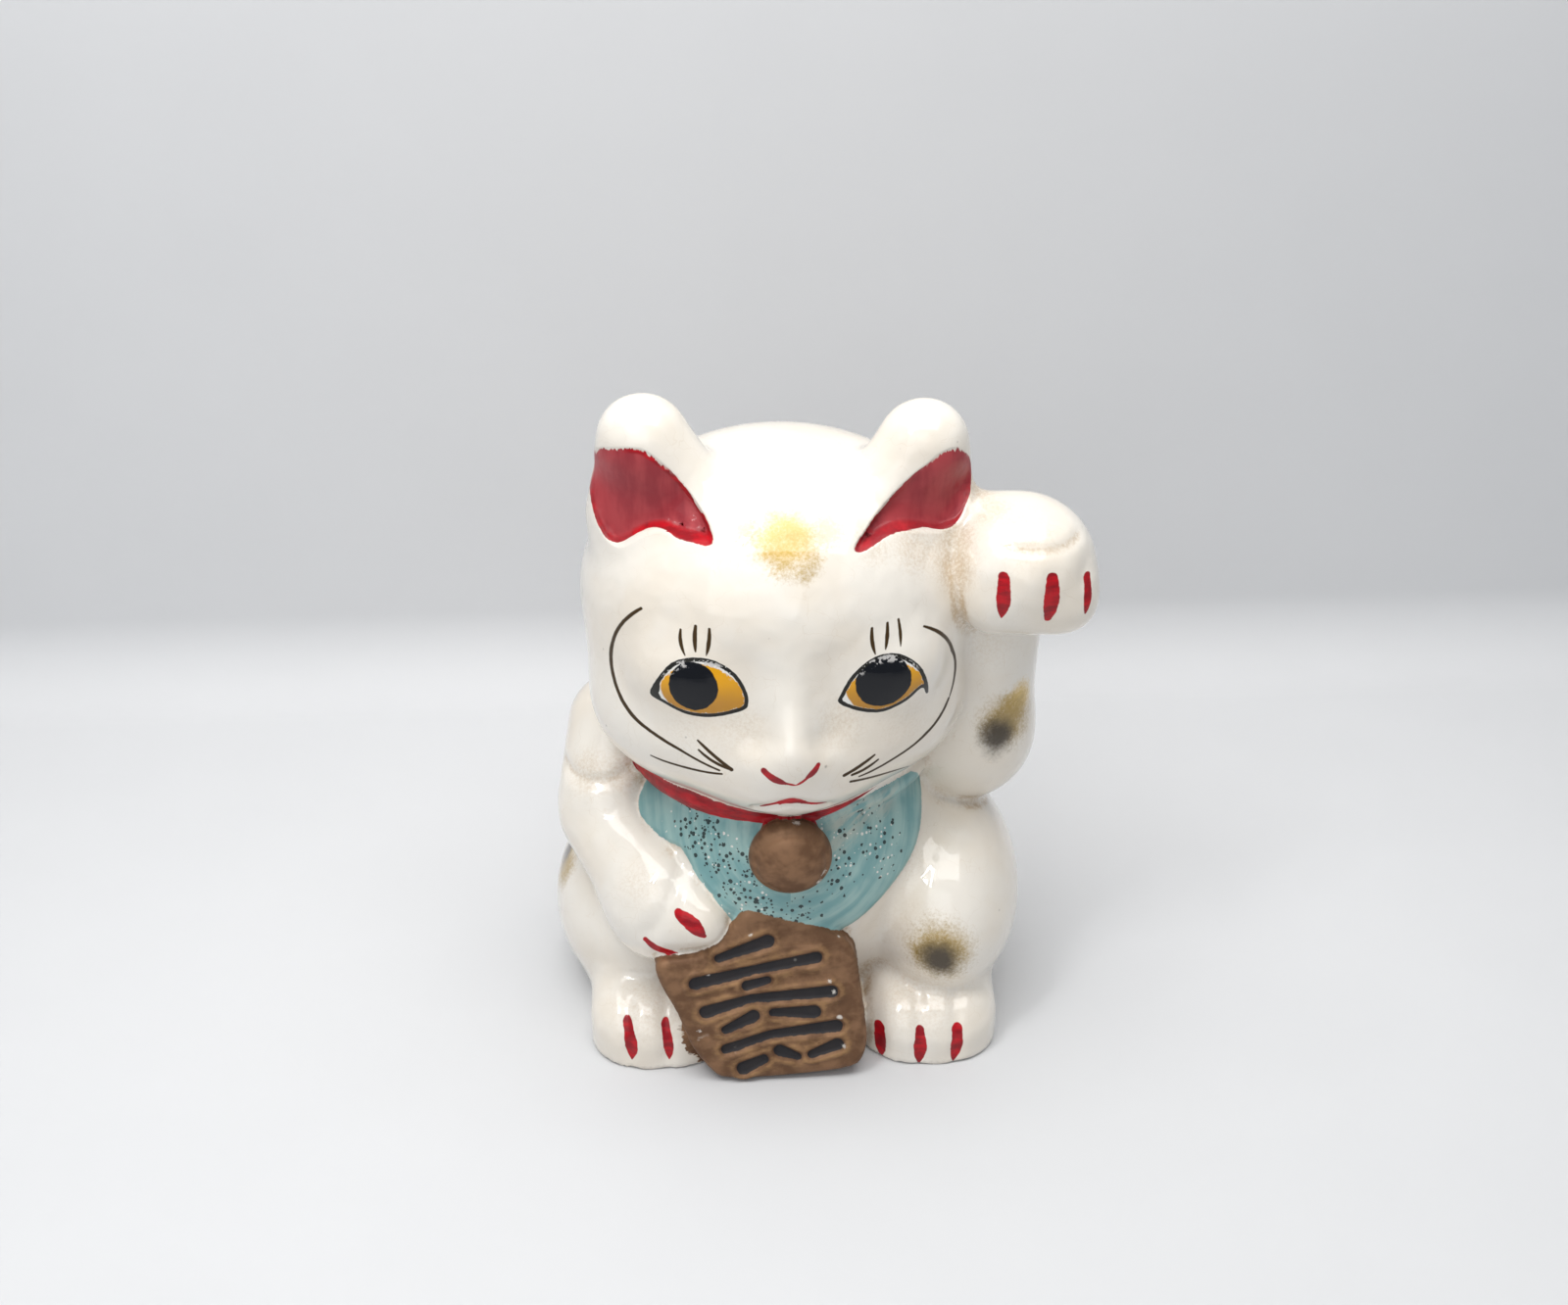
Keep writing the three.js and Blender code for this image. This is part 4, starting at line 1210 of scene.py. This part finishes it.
# Folds and listed joints are painted darker beige: partly soiled glaze, partly painted shade.
fold_grime_and_shade = r.math("MULTIPLY", r.step(r.attribute("fold_line"), 1.7, 0.1), 0.8)
grime = r.math("MAXIMUM", r.attribute("grime"), fold_grime_and_shade)
glaze = r.use(WHITE_GLAZE, place=place, crease=r.attribute("crease"), grime=grime, grain=grain)
colour = glaze["Colour"]
for name, depth, grit, shade in (
        ("yellow_spot", 0.95, 0.26, SPOT_YELLOW), ("beige_spot", 0.50, 0.60, SPOT_BEIGE),
        ("olive_spot", 0.92, 0.30, SPOT_OLIVE), ("dark_spot", 0.95, 0.12, SPOT_CORE)):
    spot = r.use(SPRAYED_SPOT, nearness=r.attribute(name), depth=depth, grit=grit, grain=grain, drift=pool)["Mask"]
    colour = r.mix(spot, colour, shade)
ink_strokes, red_strokes = strokes(r, place, shake)

# %% Red: ears, collar, nose, mouth and claws
ear_line = r.attribute("ear_edge")
ragged = r.step(sides[2], 178.0, 184.0)
bristles = r.math("SUBTRACT", r.noise(place, 1.1, 2.0, 0.6, (1, 0.2, 0.2)), 0.5)
on_head = r.step(r.attribute("head_edge"), 0.5, 0.35)
ear_mask = r.use(PAINTED_BORDER, distance=ear_line, shake=shake, wobble=0.5)["Mask"]
feathered = r.use(PAINTED_BORDER, distance=r.math("ADD", ear_line, 0.3), shake=bristles, wobble=2.4, soft=0.2)["Mask"]
ear_mask = r.math("MULTIPLY", r.blend(ragged, ear_mask, feathered), r.math("MULTIPLY", front, on_head))
# The band along the inner and lower edges of the ear's red is painted brighter: painted light on the lit step wall of
# the recess.
inner = r.math("MULTIPLY", r.step(sides[0], -46.0, -43.0), r.step(sides[0], 5.0, -5.0))
lower = r.math("MULTIPLY", r.step(sides[2], 172.0, 167.0), 0.6)
lip = r.math("MULTIPLY", r.step(ear_line, -1.8, -0.9), r.math("MAXIMUM", inner, lower))
recess = r.use(BRUSHED_COLOUR, place=place, along=(0.8, 0.3, 0.16), light=EAR_LIGHT, dark=EAR_DEEP, streaks=0.25, pool=pool)
bright = r.use(BRUSHED_COLOUR, place=place, along=(0.3, 0.3, 1.0), light=RED_BRIGHT, dark=RED_DEEP, streaks=0.5, pool=pool)
ear_red = r.mix(lip, recess["Colour"], bright["Colour"])
colour = r.mix(ear_mask, colour, ear_red)

collar_mask = r.use(PAINTED_BORDER, distance=r.math("SUBTRACT", r.attribute("collar_edge"), 0.35), shake=shake, wobble=0.25)["Mask"]
knot = r.use(OVAL_MARK, place=place, centre=(-1.0, -54.0, 82.5), stretch=(0.095, 0.08, 0.17), shake=shake, wobble=0.2, soft=0.04)["Mask"]
knot = r.math("MULTIPLY", knot, r.math("SUBTRACT", 1.0, on_head))
above_bib = r.step(r.math("SUBTRACT", sides[2], r.math("MULTIPLY", sides[0], 0.33)), 78.1, 78.6)
uncovered = r.math("MAXIMUM", above_bib, r.step(sides[1], -14.0, -10.0))
uncovered = r.math("MAXIMUM", uncovered, r.step(sides[0], -3.0, -5.0))
collar_mask = r.math("MAXIMUM", r.math("MULTIPLY", collar_mask, uncovered), knot)

# %% [markdown]
# ## The bib
# Teal was brushed over the white in wide arcs, thin enough to leave the ground showing in places.
# Since then it has flaked: black and white specks crowd round the bell, and a few worn patches
# show at one side. The rolled edge keeps more colour than the middle.

# %% Teal: bib
bib_line = r.attribute("bib_edge")
bib_mask = r.use(PAINTED_BORDER, distance=r.math("SUBTRACT", bib_line, 0.4), shake=shake, wobble=0.6)["Mask"]
bib_mask = r.math("MULTIPLY", bib_mask, r.math("SUBTRACT", 1.0, on_head))
from_bell = r.vector("SUBTRACT", r.vector("MULTIPLY", place, (1, 0, 1)), (-1, 0, 76))
turned = r.node("ShaderNodeCombineXYZ", {
    0: r.vector("LENGTH", from_bell, out=1), 1: 0.0,
    2: r.math("MULTIPLY", r.math("ARCTAN2", r.split(from_bell)[0], r.split(from_bell)[2]), 9.0)}).outputs[0]
teal = r.use(BRUSHED_COLOUR, place=turned, along=(1.0, 1.0, 0.35), light=TEAL_LIGHT, dark=TEAL_DEEP, streaks=0.26, pool=pool)
teal_colour = teal["Colour"]
tilted = r.vector("DOT_PRODUCT", place, (0.5, 0.0, -0.87), out=1)
strands = r.node("ShaderNodeCombineXYZ", {0: tilted, 1: r.math("MULTIPLY", sides[0], 0.3), 2: 0.0}).outputs[0]
worn = r.math("MULTIPLY", r.step(r.noise(strands, 0.45, 3.0, 0.65), 0.38, 0.56), r.attribute("worn"))
teal_colour = r.mix(r.math("MULTIPLY", worn, 0.7), teal_colour, TEAL_WORN)
for name, shade, scale, size in (("white_specks", CHIP_WHITE, 0.85, 0.30), ("dark_specks", SPECK_BLACK, 0.74, 0.40)):
    specks = r.use(SPECKS, place=place, scale=scale, share=r.attribute(name), size=size)["Mask"]
    teal_colour = r.mix(r.math("MULTIPLY", specks, 0.9), teal_colour, shade)
colour = r.mix(bib_mask, colour, teal_colour)
colour = r.mix(r.math("MAXIMUM", collar_mask, red_strokes), colour, bright["Colour"])

# %% [markdown]
# ## The eyes
# Each eye is a brushed black outline, an amber iris and a round black pupil in thick glossy paint.
# The amber stops short of the upper lid, and the paint has flaked there, so white shows through. The
# outline is the band between the eye's own border and a slightly smaller one.

# %% Eyes
INK_WIDTH = 1.1
EYES = [
    dict(line="eye_left_edge", iris=((-24.2, 0, 126.3), (1 / 12.4, 0, 1 / 9.2)), pupil=((-27.6, 0, 127.2), (1 / 6.7, 0, 1 / 7.2)),
         corner=(-38.6, 0, 124.6), reach=3.6),
    dict(line="eye_right_edge", iris=((27.2, 0, 126.8), (1 / 13.2, 0, 1 / 10.0)), pupil=((24.7, 0, 127.2), (1 / 7.9, 0, 1 / 7.6)),
         corner=(37.4, 0, 121.5), reach=1.6)]
flat = r.vector("MULTIPLY", place, (1, 0, 1))
ink_masks, black_masks, amber_masks = [], [], []
for eye in EYES:
    line = r.attribute(eye["line"])
    inside = r.use(PAINTED_BORDER, distance=line, shake=shake, wobble=0.25, soft=0.1)["Mask"]
    corner = r.step(r.vector("LENGTH", r.vector("SUBTRACT", flat, eye["corner"]), out=1), eye["reach"], 0.4)
    depth = r.math("ADD", r.math("ADD", line, INK_WIDTH), r.math("MULTIPLY", corner, 1.6))
    opening = r.use(PAINTED_BORDER, distance=depth, shake=grain, wobble=0.5, soft=0.1)["Mask"]
    lid = r.step(sides[2], 127.0, 133.0)
    gap = r.math("ADD", depth, r.math("MULTIPLY", lid, 0.7))
    iris_inside = r.use(PAINTED_BORDER, distance=gap, shake=grain, wobble=1.6, soft=0.15)["Mask"]
    iris = r.use(OVAL_MARK, place=flat, centre=eye["iris"][0], stretch=eye["iris"][1], shake=shake, wobble=0.06)["Mask"]
    iris = r.math("MULTIPLY", iris, iris_inside)
    pupil = r.use(OVAL_MARK, place=flat, centre=eye["pupil"][0], stretch=eye["pupil"][1], shake=shake, wobble=0.10)["Mask"]
    pupil = r.math("MULTIPLY", pupil, r.use(PAINTED_BORDER, distance=r.math("ADD", line, 0.7), shake=grain, wobble=1.2)["Mask"])
    amber = r.mix(r.step(sides[2], 121.0, 131.0), AMBER_DEEP, AMBER_BRIGHT)
    shown = r.mix(iris, EYE_WHITE, amber)
    shown = r.mix(pupil, shown, PUPIL_BLACK)
    colour = r.mix(r.math("MULTIPLY", inside, front), colour, shown)
    amber_masks.append(iris)
    ink = r.math("MULTIPLY", inside, r.math("SUBTRACT", 1.0, opening))
    flaked = r.math("MULTIPLY", r.step(grain, 0.13, 0.17), lid)
    ink_masks.append(r.math("MULTIPLY", ink, r.math("SUBTRACT", 1.0, flaked)))
    black_masks.append(pupil)
eye_ink = r.math("MULTIPLY", r.most(ink_masks), front)
colour = r.mix(eye_ink, colour, EYE_INK)
glossy_black = r.math("MULTIPLY", r.most(black_masks), front)
under_lid = r.math("MULTIPLY", r.step(sides[2], 128.5, 131.5), r.math("MULTIPLY", r.step(sides[1], -30.0, -34.0), front))
eye_line = r.math("MINIMUM", r.attribute("eye_left_edge"), r.attribute("eye_right_edge"))
flaking = r.math("MULTIPLY", r.math("MULTIPLY", r.step(eye_line, -2.7, -1.8), r.step(eye_line, -0.2, -0.6)), under_lid)
flakes = r.math("MULTIPLY", r.step(r.noise(place, 0.42, 4.0, 0.7), 0.54, 0.58), flaking)
colour = r.mix(r.math("MULTIPLY", flakes, 0.85), colour, FLAKED)
colour = r.mix(ink_strokes, colour, LINE_INK)

# %% [markdown]
# ## Bell and plaque
# Both were painted a matt metallic brown. The brown is darker in the hollows, and an ochre metal
# shade was rubbed over the ridges. Black fills the sunk marks. The brown runs out over the foot at
# one side in ragged brush ends, and a few chips show the white body.

# %% Brown: bell and plaque
plaque_line = r.attribute("plaque_edge")
spill = r.math("MULTIPLY", r.step(sides[0], -17.0, -22.0), r.step(sides[2], 17.0, 9.0))
spread = r.math("SUBTRACT", r.math("SUBTRACT", plaque_line, 0.45), r.math("MULTIPLY", spill, 2.4))
torn = r.math("SUBTRACT", r.noise(place, 0.9, 2.0, 0.6, (0.3, 0.4, 1.0)), 0.5)
clean = r.use(PAINTED_BORDER, distance=spread, shake=shake, wobble=0.6)["Mask"]
ragged_edge = r.use(PAINTED_BORDER, distance=spread, shake=torn, wobble=5.0, soft=0.2)["Mask"]
plaque_mask = r.blend(spill, clean, ragged_edge)
bell_mask = r.use(PAINTED_BORDER, distance=r.math("SUBTRACT", r.attribute("bell_edge"), 0.4), shake=shake, wobble=0.6)["Mask"]
brown_mask = r.math("MULTIPLY", r.math("MAXIMUM", plaque_mask, bell_mask), r.step(sides[1], -20.0, -26.0))
brown = r.use(BRUSHED_COLOUR, place=place, along=(0.8, 0.4, 1.0), light=BROWN_LIGHT, dark=BROWN_DEEP, streaks=0.22, pool=pool)
mark_line = r.attribute("mark_edge")
ridge = r.math("MULTIPLY", r.step(mark_line, 0.2, 1.0), r.step(mark_line, 3.4, 1.4))
rub = r.noise(place, 0.28, 4.0, 0.65, (0.6, 1.0, 1.4))
rubbed = r.math("ADD", r.math("MULTIPLY", ridge, 0.22), r.math("MULTIPLY", r.math("SUBTRACT", rub, 0.5), 0.8))
rubbed = r.math("MULTIPLY", r.step(rubbed, 0.05, 0.42), r.math("SUBTRACT", 1.0, r.math("MULTIPLY", bell_mask, 0.5)))
brown_colour = r.mix(r.math("MULTIPLY", rubbed, 0.55), brown["Colour"], OCHRE_RUB)
sunk = r.use(PAINTED_BORDER, distance=r.math("SUBTRACT", mark_line, 0.1), shake=shake, wobble=0.7)["Mask"]
brown_colour = r.mix(r.math("MULTIPLY", sunk, 0.95), brown_colour, SUNK_INK)
chips = r.use(SPECKS, place=place, scale=0.16, share=0.10, size=0.12)["Mask"]
chipped = r.use(SPRAYED_SPOT, nearness=r.attribute("chipped"), depth=1.0, grit=0.9, grain=grain, drift=0.0)["Mask"]
chips = r.math("MAXIMUM", chips, chipped)
brown_colour = r.mix(r.math("MULTIPLY", chips, 0.8), brown_colour, CHIP_WHITE)
colour = r.mix(brown_mask, colour, brown_colour)

# %% [markdown]
# ## How each colour takes the light
# The glaze is glass, so it is a sharp coat over a soft white body. Cold paint is duller: the teal
# like eggshell, the brown almost matt with a little metal in it, the pupils like wet lacquer. The
# bump joins the glaze's slight waves with the ridges that the brushes left.

# %% Shader of the outside
cold = r.most([ear_mask, collar_mask, bib_mask, r.math("MULTIPLY", red_strokes, 0.9)])
matt = brown_mask
inks = r.most([
    r.math("MULTIPLY", glossy_black, 0.70), r.math("MULTIPLY", eye_ink, 0.70), r.math("MULTIPLY", ink_strokes, 0.9),
    r.math("MULTIPLY", r.most(amber_masks), 0.55)])
dull = r.most([r.math("MULTIPLY", cold, 0.78), matt, inks])
coat = r.math("SUBTRACT", 1.0, dull, clamp=True)
rough = r.blend(cold, 0.34, r.math("ADD", 0.45, r.math("MULTIPLY", shake, 0.3)))
rough = r.blend(matt, rough, r.math("ADD", 0.42, r.math("MULTIPLY", rub, 0.24)))
rough = r.math("ADD", rough, r.math("MULTIPLY", glaze["Dirt and shade"], 0.25))
rough = r.blend(glossy_black, rough, 0.12)
metal = r.math("MULTIPLY", r.math("MULTIPLY", brown_mask, r.math("SUBTRACT", 1.0, sunk)), 0.25)

brushed_on = r.step(r.math("MINIMUM", bib_line, r.math("MINIMUM", ear_line, plaque_line)), 0.5, -0.5)
height = r.blend(brushed_on, glaze["Height"], r.math("MULTIPLY", shake, 0.10))
bump = r.node("ShaderNodeBump", {"Strength": 1.0, "Distance": MM, "Height": height})

shader = r.node("ShaderNodeBsdfPrincipled", {
    "Base Color": colour, "Roughness": rough, "Metallic": metal, "Coat Weight": coat, "Normal": bump.outputs[0],
    "Specular IOR Level": 0.22, "Coat Roughness": 0.035, "Coat IOR": 1.5, "IOR": 1.45})
r.node("ShaderNodeOutputMaterial", {"Surface": shader.outputs[0]})
print("outside material with", len(painted.node_tree.nodes), "nodes")

# %% [markdown]
# ## Bare clay
# The inside was never glazed, and the foot was wiped clean so that it wouldn't stick in the kiln.
# Bare earthenware is dull, buff and slightly gritty. It only shows under the foot and through the
# coin slot, but a dark plastic look there would give the cat away.

# %% Bare clay
clay = bpy.data.materials.new("bare_clay")
clay.use_nodes = True
clay.node_tree.nodes.clear()
r = Recipe(clay.node_tree)
place = r.scaled(r.node("ShaderNodeTexCoord").outputs["Object"], 1000.0)
buff = r.use(BRUSHED_COLOUR, place=place, along=(1, 1, 1), light=(0.62, 0.52, 0.41, 1), dark=(0.50, 0.40, 0.30, 1), streaks=0.12)
grit = r.use(SPECKS, place=place, scale=0.7, share=0.2, size=0.2)["Mask"]
clay_colour = r.mix(r.math("MULTIPLY", grit, 0.5), buff["Colour"], (0.30, 0.22, 0.15, 1))
clay_height = r.math("ADD", r.math("MULTIPLY", r.noise(place, 1.5, 4.0, 0.7), 0.12), buff["Height"])
bump = r.node("ShaderNodeBump", {"Strength": 0.8, "Distance": MM, "Height": clay_height})
clay_rough = r.math("ADD", 0.72, r.math("MULTIPLY", grit, 0.12))
shader = r.node("ShaderNodeBsdfPrincipled", {"Base Color": clay_colour, "Roughness": clay_rough, "Normal": bump.outputs[0]})
r.node("ShaderNodeOutputMaterial", {"Surface": shader.outputs[0]})

unglazed = (hollow(middles.T) < 0.8) & (np.abs(skin(middles.T)) > 1.2) | (middles[:, 2] < 0.25)
mesh.materials.append(painted)
mesh.materials.append(clay)
mesh.polygons.foreach_set("material_index", unglazed.astype(np.int32))
print("bare clay faces", int(unglazed.sum()))

# %% [markdown]
# ## A plain studio
# The cat stands on pale paper that curves up behind it into a wall. Two soft boxes overhead give
# the broad light, and two narrow strips draw the small bright streaks that glaze shows on every
# round. The paper has a faint tooth, so that it isn't one dead tone.

# %% Paper sweep
PAPER_FRONT, PAPER_WALL, PAPER_TURN, PAPER_HEIGHT, PAPER_SIDE = -0.7, 0.19, 0.03, 0.9, 0.9
profile = [(PAPER_FRONT, 0.0)]
for step in range(17):
    angle = math.pi / 2 * step / 16
    profile.append((PAPER_WALL - PAPER_TURN + PAPER_TURN * math.sin(angle), PAPER_TURN * (1 - math.cos(angle))))
profile.append((PAPER_WALL, PAPER_HEIGHT))
corners = [(side, y, z) for y, z in profile for side in (-PAPER_SIDE, PAPER_SIDE)]
faces = [(2 * n, 2 * n + 1, 2 * n + 3, 2 * n + 2) for n in range(len(profile) - 1)]
paper_mesh = bpy.data.meshes.new("paper_sweep")
paper_mesh.from_pydata(corners, [], faces)
paper_mesh.shade_smooth()
paper = bpy.data.objects.new("paper_sweep", paper_mesh)
bpy.context.scene.collection.objects.link(paper)
paper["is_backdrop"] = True

sheet = bpy.data.materials.new("studio_paper")
sheet.use_nodes = True
sheet.node_tree.nodes.clear()
r = Recipe(sheet.node_tree)
place = r.scaled(r.node("ShaderNodeTexCoord").outputs["Object"], 1000.0)
tooth = r.noise(place, 0.02, 1.0)
paper_colour = r.mix(tooth, (0.635, 0.64, 0.65, 1), (0.655, 0.66, 0.67, 1))
paper_rough = r.math("ADD", 0.7, r.math("MULTIPLY", tooth, 0.1))
shader = r.node("ShaderNodeBsdfPrincipled", {"Base Color": paper_colour, "Roughness": paper_rough})
open_behind = r.node("ShaderNodeMixShader", {
    0: r.node("ShaderNodeNewGeometry").outputs["Backfacing"], 1: shader.outputs[0],
    2: r.node("ShaderNodeBsdfTransparent").outputs[0]})
r.node("ShaderNodeOutputMaterial", {"Surface": open_behind.outputs[0]})
paper_mesh.materials.append(sheet)


# %% Lights
def soft_box(name, at, aim, size, power, shade=(1, 1, 1)):
    data = bpy.data.lights.new(name, "AREA")
    data.shape = "RECTANGLE"
    data.size, data.size_y = size
    data.energy = power
    data.color = shade
    light = bpy.data.objects.new(name, data)
    light.location = at
    light.rotation_euler = (Vector(aim) - Vector(at)).to_track_quat("-Z", "Y").to_euler()
    bpy.context.scene.collection.objects.link(light)
    return light


soft_box("overhead", (0.0, -0.10, 0.85), (0, 0, 0.08), (0.9, 0.6), 6.2, (1.0, 0.985, 0.96))
soft_box("front", (-0.28, -0.95, 0.72), (0, 0, 0.1), (1.0, 0.8), 3.0, (0.98, 0.99, 1.0))
soft_box("pane_left", (-0.315, -0.265, 0.70), (0, 0, 0.05), (0.020, 0.26), 0.45)
soft_box("pane_right", (-0.255, -0.300, 0.70), (0, 0, 0.05), (0.032, 0.26), 0.70)

world = bpy.data.worlds.new("room")
world.use_nodes = True
world.node_tree.nodes["Background"].inputs["Color"].default_value = (0.86, 0.92, 1.0, 1)
world.node_tree.nodes["Background"].inputs["Strength"].default_value = 0.27
bpy.context.scene.world = world
bpy.context.scene.view_settings.view_transform = "Standard"

# %% [markdown]
# ## The sizes
# The dressed cat is meant to fill the same space as the imported model, so both boxes are
# printed.

# %% Sizes and finish
VISUAL_BOX = [list(corner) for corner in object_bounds()]
for name, box in (("packed", CAD_BOX), ("dressed", VISUAL_BOX)):
    print(name, [[round(v * 1000, 1) for v in corner] for corner in box])
